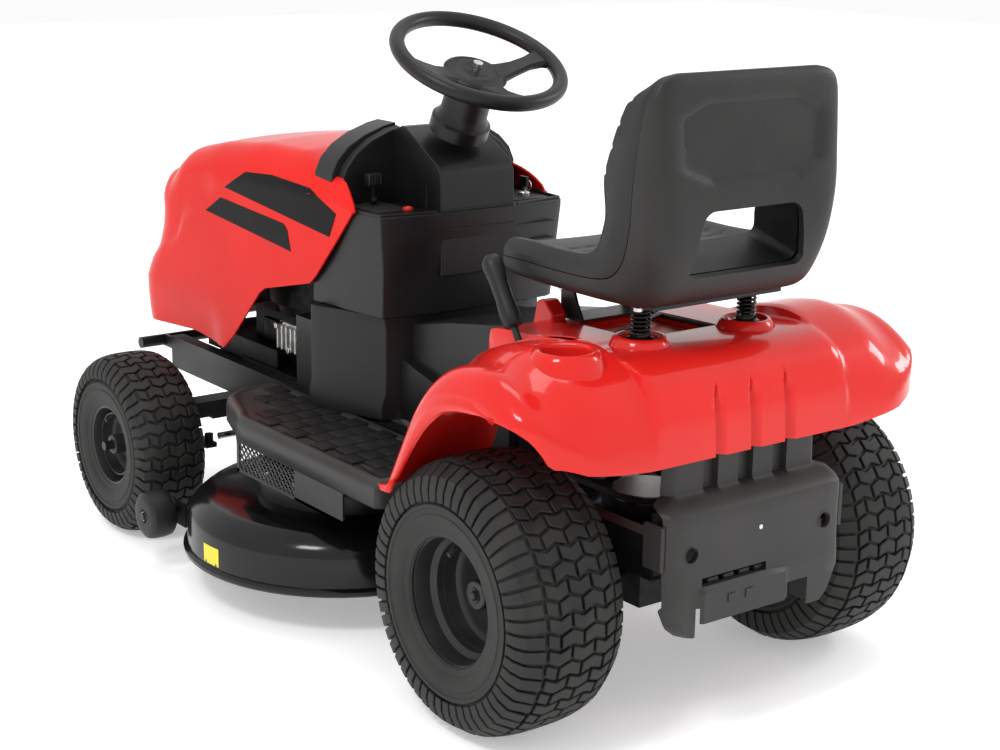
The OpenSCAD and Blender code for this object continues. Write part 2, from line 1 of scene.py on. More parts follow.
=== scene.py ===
"""Lawn tractor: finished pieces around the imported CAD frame.

Pieces are drawn in millimetres from the middle of the rear axle's shadow on the ground, front towards -Y and
the driver's left towards +X, and finish_piece() puts them in the frame's metres.
"""
import math

import bmesh
import bpy
from mathutils import Matrix, Vector
from mathutils.bvhtree import BVHTree


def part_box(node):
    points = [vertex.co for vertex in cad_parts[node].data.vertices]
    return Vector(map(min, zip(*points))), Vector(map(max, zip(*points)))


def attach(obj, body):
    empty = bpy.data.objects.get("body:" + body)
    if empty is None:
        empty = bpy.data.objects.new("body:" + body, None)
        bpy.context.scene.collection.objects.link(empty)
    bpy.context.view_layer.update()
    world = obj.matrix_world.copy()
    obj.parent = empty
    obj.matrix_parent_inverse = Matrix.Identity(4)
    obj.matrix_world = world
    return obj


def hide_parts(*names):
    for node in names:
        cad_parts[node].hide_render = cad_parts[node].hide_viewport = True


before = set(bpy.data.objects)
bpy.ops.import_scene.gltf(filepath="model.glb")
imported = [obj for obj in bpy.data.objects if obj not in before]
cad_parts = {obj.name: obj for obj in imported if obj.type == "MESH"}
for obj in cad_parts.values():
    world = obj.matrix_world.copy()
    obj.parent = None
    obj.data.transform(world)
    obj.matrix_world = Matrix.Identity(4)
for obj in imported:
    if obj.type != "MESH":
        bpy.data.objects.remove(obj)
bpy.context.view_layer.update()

MM = 0.001
TYRE_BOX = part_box("tyre_rear_left")
AXLE_Y = (TYRE_BOX[0].y + TYRE_BOX[1].y) / 2
TO_FRAME = Matrix.Translation((0, AXLE_Y, 0)) @ Matrix.Scale(MM, 4)
FLIP = Matrix.Scale(-1, 4, (1, 0, 0))
UP = (0, 0, 1)
SIDES = ((1, "left"), (-1, "right"))
FRONT_Y = -1190                  # front axle
REAR_X, FRONT_X = 337.7, 379.6   # middle planes of the wheels
WHEEL_C = (0, -517, 1012)        # steering wheel
TILT = math.radians(25)          # steering column from upright
SPRING_X, SPRING_Y = 116, 78     # seat springs
CUP_X, CUP_Y = 285, 100          # cup holder
HOLE_X, HOLE_Z = 147, 322        # grass box holes of the rear cover
DECK_Y, BLADE_X = -680, 194      # middle of the deck, and its blade spindles
GUARD_X = 170                    # middle of each half of the belt guard
ROLLER_C = Vector((470, -933, 115))


# ---------------------------------------------------------------- camera and light

def make_camera():
    """The view from behind the driver's left shoulder."""
    azimuth, elevation, roll = (math.radians(a) for a in (142.754, 14.831, 0.896))
    back = Vector((math.sin(azimuth) * math.cos(elevation),
                   -math.cos(azimuth) * math.cos(elevation), math.sin(elevation)))
    right = Vector((0, 0, 1)).cross(back).normalized()
    up = back.cross(right)
    right, up = (right * math.cos(roll) + up * math.sin(roll),
                 up * math.cos(roll) - right * math.sin(roll))
    data = bpy.data.cameras.new("camera")
    data.sensor_width = 36
    data.lens = 66.24
    data.clip_end = 100
    camera = bpy.data.objects.new("camera", data)
    turn = Matrix((right, up, back)).transposed().to_4x4()
    place = TO_FRAME @ Vector((2006.6, 2199.3, 1314.8))
    camera.matrix_world = Matrix.Translation(place) @ turn
    bpy.context.collection.objects.link(camera)
    bpy.context.scene.camera = camera


def area_light(name, place, target, size, power):
    data = bpy.data.lights.new(name, "AREA")
    data.shape = "RECTANGLE"
    data.size, data.size_y = size
    data.energy = power
    lamp = bpy.data.objects.new(name, data)
    lamp.location = place
    lamp.rotation_euler = (Vector(target) - Vector(place)).to_track_quat("-Z", "Y").to_euler()
    bpy.context.collection.objects.link(lamp)


def make_studio():
    """Pale floor, even pale surroundings and broad soft lamps."""
    bm = bmesh.new()
    bmesh.ops.create_grid(bm, x_segments=1, y_segments=1, size=14)
    mesh = bpy.data.meshes.new("floor")
    bm.to_mesh(mesh)
    bm.free()
    floor = bpy.data.objects.new("floor", mesh)
    floor.data.materials.append(floor_white())
    bpy.context.collection.objects.link(floor)
    world = bpy.data.worlds.new("studio")
    world.use_nodes = True
    world.node_tree.nodes["Background"].inputs["Color"].default_value = (1, 1, 1, 1)
    world.node_tree.nodes["Background"].inputs["Strength"].default_value = 0.97
    bpy.context.scene.world = world
    area_light("key", (2.5, 1.1, 3.3), (0.2, -0.2, 0.5), (0.9, 0.7), 46)
    area_light("side", (-3.4, 1.5, 2.2), (0, 0, 0.5), (0.9, 0.9), 30)
    area_light("overhead", (-0.3, -0.2, 4.2), (0, 0, 0.4), (1.6, 1.0), 20)
    scene = bpy.context.scene
    scene.view_settings.view_transform = "Standard"


# ---------------------------------------------------------------- materials

def new_material(name, colour, roughness, metallic=0.0, coat=0.0, specular=0.5):
    mat = bpy.data.materials.new(name)
    mat.use_nodes = True
    shader = mat.node_tree.nodes["Principled BSDF"]
    shader.inputs["Base Color"].default_value = (*colour, 1)
    shader.inputs["Roughness"].default_value = roughness
    shader.inputs["Metallic"].default_value = metallic
    shader.inputs["Coat Weight"].default_value = coat
    shader.inputs["Coat Roughness"].default_value = 0.04
    shader.inputs["Specular IOR Level"].default_value = specular
    return mat, mat.node_tree, shader


def object_noise(tree, scale, detail=4, roughness=0.55):
    coords = tree.nodes.new("ShaderNodeTexCoord")
    noise = tree.nodes.new("ShaderNodeTexNoise")
    noise.inputs["Scale"].default_value = scale
    noise.inputs["Detail"].default_value = detail
    noise.inputs["Roughness"].default_value = roughness
    tree.links.new(coords.outputs["Object"], noise.inputs["Vector"])
    return noise


def add_bump(tree, shader, height, strength, distance):
    bump = tree.nodes.new("ShaderNodeBump")
    bump.inputs["Strength"].default_value = strength
    bump.inputs["Distance"].default_value = distance
    tree.links.new(height, bump.inputs["Height"])
    tree.links.new(bump.outputs["Normal"], shader.inputs["Normal"])
    return bump


def vary(tree, factor, low, high, target):
    """Drives a number socket between two values with a noise."""
    span = tree.nodes.new("ShaderNodeMapRange")
    span.inputs["From Min"].default_value = 0.3
    span.inputs["From Max"].default_value = 0.7
    span.inputs["To Min"].default_value = low
    span.inputs["To Max"].default_value = high
    tree.links.new(factor, span.inputs["Value"])
    tree.links.new(span.outputs["Result"], target)


def vary_colour(tree, factor, dark, light, target):
    ramp = tree.nodes.new("ShaderNodeValToRGB")
    ramp.color_ramp.elements[0].position = 0.35
    ramp.color_ramp.elements[1].position = 0.65
    ramp.color_ramp.elements[0].color = (*dark, 1)
    ramp.color_ramp.elements[1].color = (*light, 1)
    tree.links.new(factor, ramp.inputs["Fac"])
    tree.links.new(ramp.outputs["Color"], target)


def gloss_red(name="gloss_red", coat=0.45, specular=0.12):
    """Bright red moulding under a hard gloss, with the faint orange peel of a polished mould."""
    mat, tree, shader = new_material(name, (0.66, 0.014, 0.010), 0.24, coat=coat, specular=specular)
    peel = object_noise(tree, 90, 2)
    add_bump(tree, shader, peel.outputs["Fac"], 0.05, 0.0006)
    broad = object_noise(tree, 3)
    vary_colour(tree, broad.outputs["Fac"], (0.62, 0.012, 0.008), (0.70, 0.016, 0.012),
                shader.inputs["Base Color"])
    vary(tree, broad.outputs["Fac"], 0.18, 0.26, shader.inputs["Roughness"])
    return mat


def uneven(name, dark, light, rough, scale, detail=4, **more):
    """A material whose colour and sheen wander a little over the surface."""
    mat, tree, shader = new_material(name, light, sum(rough) / 2, **more)
    broad = object_noise(tree, scale, detail)
    vary_colour(tree, broad.outputs["Fac"], dark, light, shader.inputs["Base Color"])
    vary(tree, broad.outputs["Fac"], *rough, shader.inputs["Roughness"])
    return mat, tree, shader


def grained(name, dark, light, rough, grain, depth):
    """Moulded plastic with a fine leather-like grain."""
    mat, tree, shader = uneven(name, dark, light, rough, 6, specular=0.32)
    coords = tree.nodes.new("ShaderNodeTexCoord")
    cells = tree.nodes.new("ShaderNodeTexVoronoi")
    cells.feature = "SMOOTH_F1"
    cells.inputs["Scale"].default_value = grain
    tree.links.new(coords.outputs["Object"], cells.inputs["Vector"])
    add_bump(tree, shader, cells.outputs["Distance"], depth, 0.0006)
    return mat


def painted(name, dark, light, rough, coat=0.0, specular=0.35):
    """Painted or powder-coated steel with a soft uneven surface."""
    mat, tree, shader = uneven(name, dark, light, rough, 7, 5, coat=coat, specular=specular)
    fine = object_noise(tree, 260, 2)
    add_bump(tree, shader, fine.outputs["Fac"], 0.12, 0.0005)
    return mat


def bare_metal(name, dark, light, rough, brushed=(1, 1, 1)):
    mat, tree, shader = new_material(name, light, sum(rough) / 2, metallic=1)
    coords = tree.nodes.new("ShaderNodeTexCoord")
    stretch = tree.nodes.new("ShaderNodeMapping")
    stretch.inputs["Scale"].default_value = brushed
    noise = tree.nodes.new("ShaderNodeTexNoise")
    noise.inputs["Scale"].default_value = 60
    noise.inputs["Detail"].default_value = 6
    tree.links.new(coords.outputs["Object"], stretch.inputs["Vector"])
    tree.links.new(stretch.outputs["Vector"], noise.inputs["Vector"])
    vary_colour(tree, noise.outputs["Fac"], dark, light, shader.inputs["Base Color"])
    vary(tree, noise.outputs["Fac"], rough[0], rough[1], shader.inputs["Roughness"])
    add_bump(tree, shader, noise.outputs["Fac"], 0.15, 0.0006)
    return mat


def tyre_black():
    """Tyre rubber: a dry bloom in soft random patches and a slight dusty film."""
    mat, tree, shader = new_material("tyre_black", (0.02, 0.02, 0.02), 0.6, specular=0.3)
    broad = object_noise(tree, 14, 6, 0.65)
    vary_colour(tree, broad.outputs["Fac"], (0.009, 0.009, 0.009), (0.026, 0.025, 0.023),
                shader.inputs["Base Color"])
    vary(tree, broad.outputs["Fac"], 0.5, 0.72, shader.inputs["Roughness"])
    fine = object_noise(tree, 220, 4, 0.7)
    add_bump(tree, shader, fine.outputs["Fac"], 0.35, 0.0008)
    return mat


def clear_lens():
    mat, tree, shader = new_material("clear_lens", (0.92, 0.94, 0.96), 0.08)
    shader.inputs["Transmission Weight"].default_value = 0.85
    ribs = object_noise(tree, 50, 1)
    add_bump(tree, shader, ribs.outputs["Fac"], 0.2, 0.001)
    return mat


def floor_white():
    mat, tree, shader = new_material("floor_white", (0.98, 0.98, 0.98), 0.8, specular=0.1)
    shader.inputs["Emission Color"].default_value = (1, 1, 1, 1)
    shader.inputs["Emission Strength"].default_value = 0.32
    soft = object_noise(tree, 1.2)
    vary(tree, soft.outputs["Fac"], 0.65, 0.75, shader.inputs["Roughness"])
    return mat


RED = gloss_red()
HOOD_RED = gloss_red("hood_red", coat=0.1, specular=0.05)
BLACK_PLASTIC = grained("black_plastic", (0.005, 0.005, 0.0055), (0.009, 0.009, 0.0095),
                        (0.32, 0.42), 900, 0.12)
GREY_PLASTIC = grained("grey_black_plastic", (0.022, 0.021, 0.020), (0.034, 0.032, 0.031),
                       (0.40, 0.50), 800, 0.2)
SEAT_SHELL = grained("seat_shell_plastic", (0.012, 0.012, 0.0115), (0.022, 0.021, 0.020),
                     (0.44, 0.56), 420, 0.6)
SEAT_SKIN = grained("seat_skin", (0.008, 0.008, 0.008), (0.016, 0.0155, 0.015), (0.40, 0.52), 520, 0.5)
MAT_RUBBER = grained("mat_rubber", (0.006, 0.006, 0.006), (0.011, 0.011, 0.011), (0.42, 0.56), 700, 0.3)
WHEEL_GRIP = grained("wheel_grip", (0.006, 0.006, 0.006), (0.012, 0.012, 0.012), (0.34, 0.46), 1200, 0.2)
YELLOW = grained("yellow_plastic", (0.70, 0.46, 0.01), (0.86, 0.60, 0.02), (0.26, 0.36), 600, 0.1)
ORANGE = grained("orange_label", (0.75, 0.07, 0.015), (0.85, 0.09, 0.02), (0.3, 0.4), 300, 0.05)
YELLOW_LABEL = grained("yellow_label", (0.72, 0.58, 0.02), (0.80, 0.68, 0.04), (0.3, 0.4), 300, 0.05)
RED_LIGHT = grained("red_plastic", (0.6, 0.02, 0.015), (0.75, 0.03, 0.02), (0.25, 0.35), 500, 0.05)
TANK_WHITE = grained("tank_white", (0.55, 0.55, 0.52), (0.68, 0.68, 0.65), (0.35, 0.45), 400, 0.1)
BELT = grained("belt_rubber", (0.015, 0.015, 0.015), (0.03, 0.03, 0.03), (0.6, 0.7), 500, 0.3)
TRIM_BLACK = painted("trim_black", (0.003, 0.003, 0.003), (0.006, 0.006, 0.006), (0.22, 0.3),
                     specular=0.06)
GLOSS_BLACK = painted("gloss_black", (0.003, 0.003, 0.003), (0.006, 0.006, 0.006), (0.12, 0.2),
                      coat=0.12, specular=0.25)
FRAME_BLACK = painted("frame_black", (0.005, 0.005, 0.005), (0.011, 0.011, 0.011), (0.34, 0.48))
RIM_BLACK = painted("rim_black", (0.014, 0.014, 0.0145), (0.024, 0.024, 0.025), (0.32, 0.42))
ALUMINIUM = bare_metal("cast_aluminium", (0.42, 0.42, 0.41), (0.66, 0.66, 0.64), (0.36, 0.55))
ZINC = bare_metal("zinc_steel", (0.50, 0.50, 0.48), (0.75, 0.74, 0.72), (0.2, 0.36), (1, 6, 6))
DARK_STEEL = bare_metal("dark_steel", (0.18, 0.18, 0.18), (0.32, 0.32, 0.32), (0.3, 0.45), (6, 1, 6))
CAST_BLACK = bare_metal("black_casting", (0.012, 0.012, 0.012), (0.03, 0.03, 0.03), (0.4, 0.6))
TYRE = tyre_black()
LENS = clear_lens()


# ---------------------------------------------------------------- mesh helpers

def finish_piece(name, bm, body, mats, replaces=(), smooth=32, bevel=0.0, at=None, wall=0.0):
    """Turns a bmesh drawn in millimetres into a finished piece that rides on its body."""
    if at is not None:
        bmesh.ops.transform(bm, matrix=at, verts=bm.verts)
    bmesh.ops.transform(bm, matrix=TO_FRAME, verts=bm.verts)
    bmesh.ops.recalc_face_normals(bm, faces=bm.faces)
    mesh = bpy.data.meshes.new(name)
    bm.to_mesh(mesh)
    bm.free()
    piece = bpy.data.objects.new(name, mesh)
    bpy.context.collection.objects.link(piece)
    for mat in mats if isinstance(mats, (list, tuple)) else [mats]:
        mesh.materials.append(mat)
    mesh.shade_smooth()
    mesh.set_sharp_from_angle(angle=math.radians(smooth))
    if wall:
        mod = piece.modifiers.new("wall", "SOLIDIFY")
        mod.thickness = wall * MM
        mod.offset = -1
    if bevel:
        mod = piece.modifiers.new("edges", "BEVEL")
        mod.width = bevel * MM
        mod.segments = 2
        mod.limit_method = "ANGLE"
        mod.angle_limit = math.radians(40)
        mod.harden_normals = True
    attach(piece, body)
    if replaces:
        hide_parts(*replaces)
    return piece


def box(bm, low, high, mat=0):
    """A box between two corners."""
    made = bmesh.ops.create_cube(bm, size=1)["verts"]
    size = [b - a for a, b in zip(low, high)]
    middle = [(a + b) / 2 for a, b in zip(low, high)]
    bmesh.ops.transform(bm, matrix=Matrix.Translation(middle) @ Matrix.Diagonal((*size, 1)), verts=made)
    for face in {f for v in made for f in v.link_faces}:
        face.material_index = mat
    return made


def rod(bm, a, b, r0, r1=None, sides=24, mat=0):
    """A round bar, or a cone, between two points."""
    a, b = Vector(a), Vector(b)
    made = bmesh.ops.create_cone(bm, cap_ends=True, segments=sides, radius1=r0,
                                 radius2=r0 if r1 is None else r1, depth=(b - a).length)["verts"]
    turn = (b - a).to_track_quat("Z", "Y").to_matrix().to_4x4()
    bmesh.ops.transform(bm, matrix=Matrix.Translation((a + b) / 2) @ turn, verts=made)
    for face in {f for v in made for f in v.link_faces}:
        face.material_index = mat
    return made


def revolve(bm, profile, axis=(1, 0, 0), centre=(0, 0, 0), steps=72, mat=0, closed=True):
    """Spins a closed outline round an axis. The outline is (along the axis, distance from it)."""
    axis = Vector(axis).normalized()
    side = axis.orthogonal().normalized()
    verts = [bm.verts.new(Vector(centre) + axis * t + side * r) for t, r in profile]
    ends = list(zip(verts, verts[1:] + verts[:1])) if closed else list(zip(verts, verts[1:]))
    edges = [bm.edges.new(pair) for pair in ends]
    faces = set(bm.faces)
    bmesh.ops.spin(bm, geom=verts + edges, cent=centre, axis=axis, angle=math.tau, steps=steps,
                   use_merge=True)
    new_verts = {v for f in bm.faces if f not in faces for v in f.verts}
    bmesh.ops.remove_doubles(bm, verts=list(new_verts), dist=0.001)
    for face in bm.faces:
        if face not in faces:
            face.material_index = mat


def loft(bm, sections, closed=False, caps=False, mat=0):
    """Skins a row of sections, which all have the same number of points."""
    before = set(bm.faces)
    rows = []
    for points in sections:
        verts = [bm.verts.new(p) for p in points]
        pairs = list(zip(verts, verts[1:])) + ([(verts[-1], verts[0])] if closed else [])
        rows.append((verts, [bm.edges.new(pair) for pair in pairs]))
    for (_, low), (_, high) in zip(rows, rows[1:]):
        bmesh.ops.bridge_loops(bm, edges=low + high)
    if caps:
        for verts, _ in (rows[0], rows[-1]):
            bm.faces.new(verts)
    for face in bm.faces:
        if face not in before:
            face.material_index = mat


def prism(bm, outline, axis, low, high, mat=0):
    """Extrudes an outline along axis 0, 1 or 2, between two places on it."""
    others = [i for i in range(3) if i != axis]
    verts = []
    for a, b in outline:
        place = [0, 0, 0]
        place[axis] = low
        place[others[0]], place[others[1]] = a, b
        verts.append(bm.verts.new(place))
    face = bm.faces.new(verts)
    moved = bmesh.ops.extrude_face_region(bm, geom=[face], use_keep_orig=True)["geom"]
    step = [0, 0, 0]
    step[axis] = high - low
    top = [v for v in moved if isinstance(v, bmesh.types.BMVert)]
    bmesh.ops.translate(bm, verts=top, vec=step)
    for f in {f for v in top + verts for f in v.link_faces}:
        f.material_index = mat
    return verts + top


def arc(centre, radius, start, stop, steps=6):
    """Points on an arc in a plane, angles in degrees."""
    angles = [math.radians(start + (stop - start) * i / steps) for i in range(steps + 1)]
    return [(centre[0] + radius * math.cos(a), centre[1] + radius * math.sin(a)) for a in angles]


def take_in(bm, part):
    """Adds a part that was drawn in a bmesh of its own."""
    mesh = bpy.data.meshes.new("part")
    part.to_mesh(mesh)
    part.free()
    bm.from_mesh(mesh)
    bpy.data.meshes.remove(mesh)


def whole(bm):
    return bm.verts[:] + bm.edges[:] + bm.faces[:]


def slice_at(bm, place, normal):
    """Adds a row of edges where a plane crosses a mesh."""
    bmesh.ops.bisect_plane(bm, geom=whole(bm), plane_co=place, plane_no=normal)


def round_edges(bm, edges, offset, segments):
    bmesh.ops.bevel(bm, geom=edges, offset=offset, segments=segments, profile=0.5, affect="EDGES",
                    material=-1)


def cutter(draw, *args, **more):
    """A shape to take out of a finished piece."""
    bm = bmesh.new()
    draw(bm, *args, **more)
    return bm


def mirror_copy(bm):
    """Adds the mirror image on the other side of the mid plane."""
    made = bmesh.ops.duplicate(bm, geom=whole(bm))["geom"]
    verts = [g for g in made if isinstance(g, bmesh.types.BMVert)]
    bmesh.ops.transform(bm, matrix=FLIP, verts=verts)
    bmesh.ops.reverse_faces(bm, faces=[g for g in made if isinstance(g, bmesh.types.BMFace)])


def between(table, t):
    """Value at t of a table of (t, value), straight from point to point."""
    if t <= table[0][0]:
        return table[0][1]
    for (t0, v0), (t1, v1) in zip(table, table[1:]):
        if t <= t1:
            return v0 + (v1 - v0) * (t - t0) / (t1 - t0)
    return table[-1][1]


def carry(node, mat):
    """Gives a CAD node, whose shape is right, its finish."""
    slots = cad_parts[node].data.materials
    slots.clear()
    slots.append(mat)


# ---------------------------------------------------------------- wheels

def tyre_curve(radius, width):
    """Outer curve of a tyre's section from the crown down the wall, as (distance across, radius)."""
    waist, half = radius * 0.70, width / 2
    points = []
    for i in range(41):
        angle = math.pi / 2 * i / 40
        across = half * math.sin(angle) ** 0.68
        points.append((across, waist + (radius - waist) * math.cos(angle) ** 0.56))
    return points


def on_curve(curve, distance, height):
    """Point beside a curve at a distance along it, and a height off it."""
    left = distance
    for (x0, r0), (x1, r1) in zip(curve, curve[1:]):
        step = math.hypot(x1 - x0, r1 - r0)
        if left <= step or (x1, r1) == curve[-1]:
            k, along_x, along_r = min(left / step, 1), (x1 - x0) / step, (r1 - r0) / step
            return x0 + (x1 - x0) * k - along_r * height, r0 + (r1 - r0) * k + along_x * height
        left -= step


def tread_blocks(bm, radius, width, row, column):
    """One pitch of tread: two staggered rows of chevron blocks, and lugs over the shoulder."""
    gap, deep, edge = 2.9, 8, width * 0.70
    spans = [(0, -column / 2, column / 2), (1, 0, column), (1, -column, 0)]
    start = column / 2
    while start + column < width * 0.36:
        spans += [(0, start, start + column), (0, -start - column, -start)]
        start += column
    for side in (1, -1):
        lugs = [(0, start, edge), (1, column, column * 1.55), (1, column * 1.55, edge)]
        spans += [(n, *sorted((side * a, side * b))) for n, a, b in lugs]
    for n, a, b in spans:
        box(bm, (a + gap, n * row + gap, -deep), (b - gap, (n + 1) * row - gap, 0))
    top = [e for e in bm.edges if max(v.co.z for v in e.verts) > -1]
    round_edges(bm, top, 1.1, 1)
    places = [column * k / 2 for k in range(-3, 4)]
    places += [s * edge * k for s in (1, -1) for k in (0.7, 0.85)]
    for u in places:
        slice_at(bm, (u, 0, 0), (1, 0, 0))
    curve = tyre_curve(radius, width)
    for v in bm.verts:
        u, s, h = v.co
        phase = abs((u / column) % 1 - 0.5) * 2
        s += row * 0.34 * (phase - 0.5) * (1 if abs(u) < column * 1.6 else 0.5)
        x, r = on_curve(curve, abs(u), h)
        v.co = (math.copysign(x, u), r * math.sin(s / radius), r * math.cos(s / radius))


def make_tyre(name, body, node, radius, width, bead, pitches, column, at):
    """Turf tyre: chevron blocks and shoulder lugs standing on a smooth-walled carcass."""
    bm = bmesh.new()
    tread_blocks(bm, radius, width, math.tau * radius / pitches / 2, column)
    bmesh.ops.spin(bm, geom=whole(bm), cent=(0, 0, 0), axis=(1, 0, 0),
                   angle=math.tau * (pitches - 1) / pitches, steps=pitches - 1, use_duplicate=True)
    half = width / 2
    curve = tyre_curve(radius, width)
    crown = [on_curve(curve, width * 0.70 * i / 16, -6.8) for i in range(17)]
    wall = [on_curve(curve, width * 0.72, -5), on_curve(curve, width * 0.74, -1.2)]
    wall += [(half - 1, radius * 0.70), (half - 1, radius * 0.675), (half - 2.6, radius * 0.668),
             (half - 3.2, radius * 0.635), (half - 1.9, radius * 0.628), (half - 2.6, radius * 0.60),
             (half - 6, bead + 15), (half - 7.6, bead + 13), (half - 8, bead + 8), (half - 10, bead + 3),
             (half - 14, bead)]
    lining = [(half - 24, bead + 4), (half - 18, radius * 0.70), (half * 0.66, radius - 24),
              (0, radius - 20)]
    line = crown + wall + lining
    revolve(bm, line + [(-x, r) for x, r in reversed(line) if x > 0.01], steps=pitches * 4)
    finish_piece(name, bm, body, TYRE, [node], smooth=28, at=at)


def make_rim(name, body, node, flange, width, dish, hub_out, hub_r, half_shaft, at):
    """Pressed steel rim: rolled flange, stepped well, deep dish, hub, valve and end cap."""
    bm = bmesh.new()
    w, f = width / 2, flange
    outline = [(w, f), (w - 1.5, f + 0.5), (w - 5, f - 2), (w - 6, f - 9), (w - 16, f - 12), (w - 30, f - 13),
               (w - 38, f - 22), (0, f - 24), (-w + 38, f - 22), (-w + 30, f - 13), (-w + 6, f - 9),
               (-w + 5, f - 2), (-w, f), (-w, f - 3), (-w + 3, f - 12), (-w + 28, f - 16), (-w + 36, f - 25),
               (0, f - 27), (w - 40, f - 25), (w - 33, f - 16), (w - 16, f - 15), (w - 5, f - 12.5),
               (w - 1, f - 3)]
    revolve(bm, outline, steps=96)
    # the dish is a bowl that narrows towards the hub
    r = f - 25.5
    bowl = [(26, r + 0.5), (8, r), (1, r - 7), (-2, r - 16), (0, hub_r + 16), (5, hub_r + 8), (6, hub_r),
            (2, hub_r), (0, hub_r + 7), (-4, hub_r + 16), (-6, r - 16), (-3, r - 8), (6, r - 3),
            (26, r - 2.5)]
    revolve(bm, [(dish + across, height) for across, height in bowl], steps=96)
    hub = [(-w * 0.8, hub_r), (hub_out - 2, hub_r), (hub_out, hub_r - 2), (hub_out, 0), (-w * 0.8, 0)]
    revolve(bm, hub, steps=48, closed=False)
    bolt = [(hub_out, 8), (hub_out + 5, 8), (hub_out + 7, 6), (hub_out + 7, 0)]
    revolve(bm, [(hub_out - 2, 0), (hub_out - 2, 14), (hub_out + 1.5, 14), *bolt], steps=6, closed=False)
    # valve stem beside the step
    stem = Vector((w - 34, 0, f - 24))
    rod(bm, stem, stem + Vector((24, 0, -9)), 5.5, 4.2, sides=16, mat=1)
    rod(bm, stem + Vector((24, 0, -9)), stem + Vector((36, 0, -13)), 4.6, sides=16, mat=1)
    if half_shaft:
        rod(bm, (-half_shaft, 0, 0), (-w * 0.7, 0, 0), 10, sides=32)
    finish_piece(name, bm, body, [RIM_BLACK, TYRE], [node], smooth=35, at=at)


def make_wheels():
    # tyre: radius, width, bead radius, pitches, block width; rim: flange, width, dish, hub and half shaft
    wheels = (("rear", REAR_X, 0, (227, 208, 104, 27, 44), (116, 180, 12, 40, 24, REAR_X - 98)),
              ("front", FRONT_X, FRONT_Y, (186.8, 150, 80, 23, 36), (90.5, 134, 24, 58, 20, 0)))
    for side, word in SIDES:
        for end, x, y, tyre, rim in wheels:
            at = Matrix.Translation((side * x, y, tyre[0]))
            if side < 0:
                at = at @ Matrix.Rotation(math.pi, 4, "Z")
            tag = f"{end}_{word}"
            make_tyre(f"turf_tyre_{tag}", f"wheel_{tag}", f"tyre_{tag}", *tyre, at)
            make_rim(f"wheel_rim_{tag}", f"wheel_{tag}", f"rim_{tag}", *rim, at)


# ---------------------------------------------------------------- curves and surfaces

def smooth_line(points, count):
    """Evenly spaced points on a smooth curve through a few points."""
    dense = []
    rows = [points[0], *points, points[-1]]
    for p0, p1, p2, p3 in zip(rows, rows[1:], rows[2:], rows[3:]):
        for i in range(12):
            t = i / 12
            dense.append(tuple(0.5 * (2 * b + (c - a) * t + (2 * a - 5 * b + 4 * c - d) * t * t
                                      + (3 * b - a - 3 * c + d) * t ** 3)
                               for a, b, c, d in zip(p0, p1, p2, p3)))
    dense.append(points[-1])
    reach = [0]
    for a, b in zip(dense, dense[1:]):
        reach.append(reach[-1] + math.dist(a, b))
    out, j = [], 0
    for n in range(count):
        want = reach[-1] * n / (count - 1)
        while j < len(dense) - 2 and reach[j + 1] < want:
            j += 1
        k = (want - reach[j]) / max(reach[j + 1] - reach[j], 1e-9)
        out.append(tuple(a + (b - a) * min(k, 1) for a, b in zip(dense[j], dense[j + 1])))
    return out


def ease(low, high, t):
    """0 below low, 1 above high and smooth between."""
    k = min(max((t - low) / (high - low), 0), 1)
    return k * k * (3 - 2 * k)


def mix(a, b, k):
    return tuple(p + (q - p) * k for p, q in zip(a, b))


def close_skin(bm):
    """Joins a skin's two halves and drops what collapsed at its corners."""
    bmesh.ops.remove_doubles(bm, verts=bm.verts, dist=0.05)
    bmesh.ops.dissolve_degenerate(bm, edges=bm.edges, dist=0.02)


def cut_away(piece, cutters):
    """Takes the cutters' shapes, drawn in millimetres, out of a finished piece."""
    for bm in cutters:
        bmesh.ops.transform(bm, matrix=TO_FRAME, verts=bm.verts)
        bmesh.ops.recalc_face_normals(bm, faces=bm.faces)
        mesh = bpy.data.meshes.new("cutter")
        bm.to_mesh(mesh)
        bm.free()
        cutter = bpy.data.objects.new("cutter", mesh)
        bpy.context.collection.objects.link(cutter)
        mod = piece.modifiers.new("cut", "BOOLEAN")
        mod.operation = "DIFFERENCE"
        mod.solver = "EXACT"
        mod.object = cutter
        evaluated = piece.evaluated_get(bpy.context.evaluated_depsgraph_get())
        fresh = bpy.data.meshes.new_from_object(evaluated)
        piece.modifiers.clear()
        old = piece.data
        piece.data = fresh
        bpy.data.meshes.remove(old)
        bpy.data.objects.remove(cutter)
        bpy.data.meshes.remove(mesh)
    piece.data.set_sharp_from_angle(angle=math.radians(32))


# ---------------------------------------------------------------- rear body

BASE_LINE = [(-204, 480), (-204, 545), (-202, 588), (-190, 603), (-120, 610), (-40, 614), (40, 617),
             (90, 620), (136, 620), (170, 613), (196, 598), (214, 574), (224, 545), (229, 515),
             (232, 466)]
CUP_LINE = [(-190, 371), (-172, 418), (-150, 470), (-128, 530), (-108, 572), (-78, 602), (-30, 622),
            (20, 633), (60, 637), (100, 632), (140, 617), (176, 595), (204, 565), (222, 530), (234, 466)]
FENDER_LINE = [(-190, 371), (-168, 412), (-124, 490), (-94, 538), (-60, 577), (-20, 602), (30, 613),
               (78, 613), (118, 602), (154, 583), (184, 560), (208, 538), (226, 520), (240, 505),
               (250, 492)]
ARCH_LINE = [(-186, 371), (-160, 378), (-135, 397), (-98, 450), (-65, 491), (-38, 516), (-11, 534), (28, 545),
             (66, 550), (98, 553), (122, 553)]
BODY_STEPS = 72
BODY_FLAT, BODY_OUT = 396, 438   # where the corner starts to round off, and the outer side
BODY_FRONT = 371                 # height of the fender's front foot
GROOVES = (-76, 0, 76)   # upright grooves of the rear face


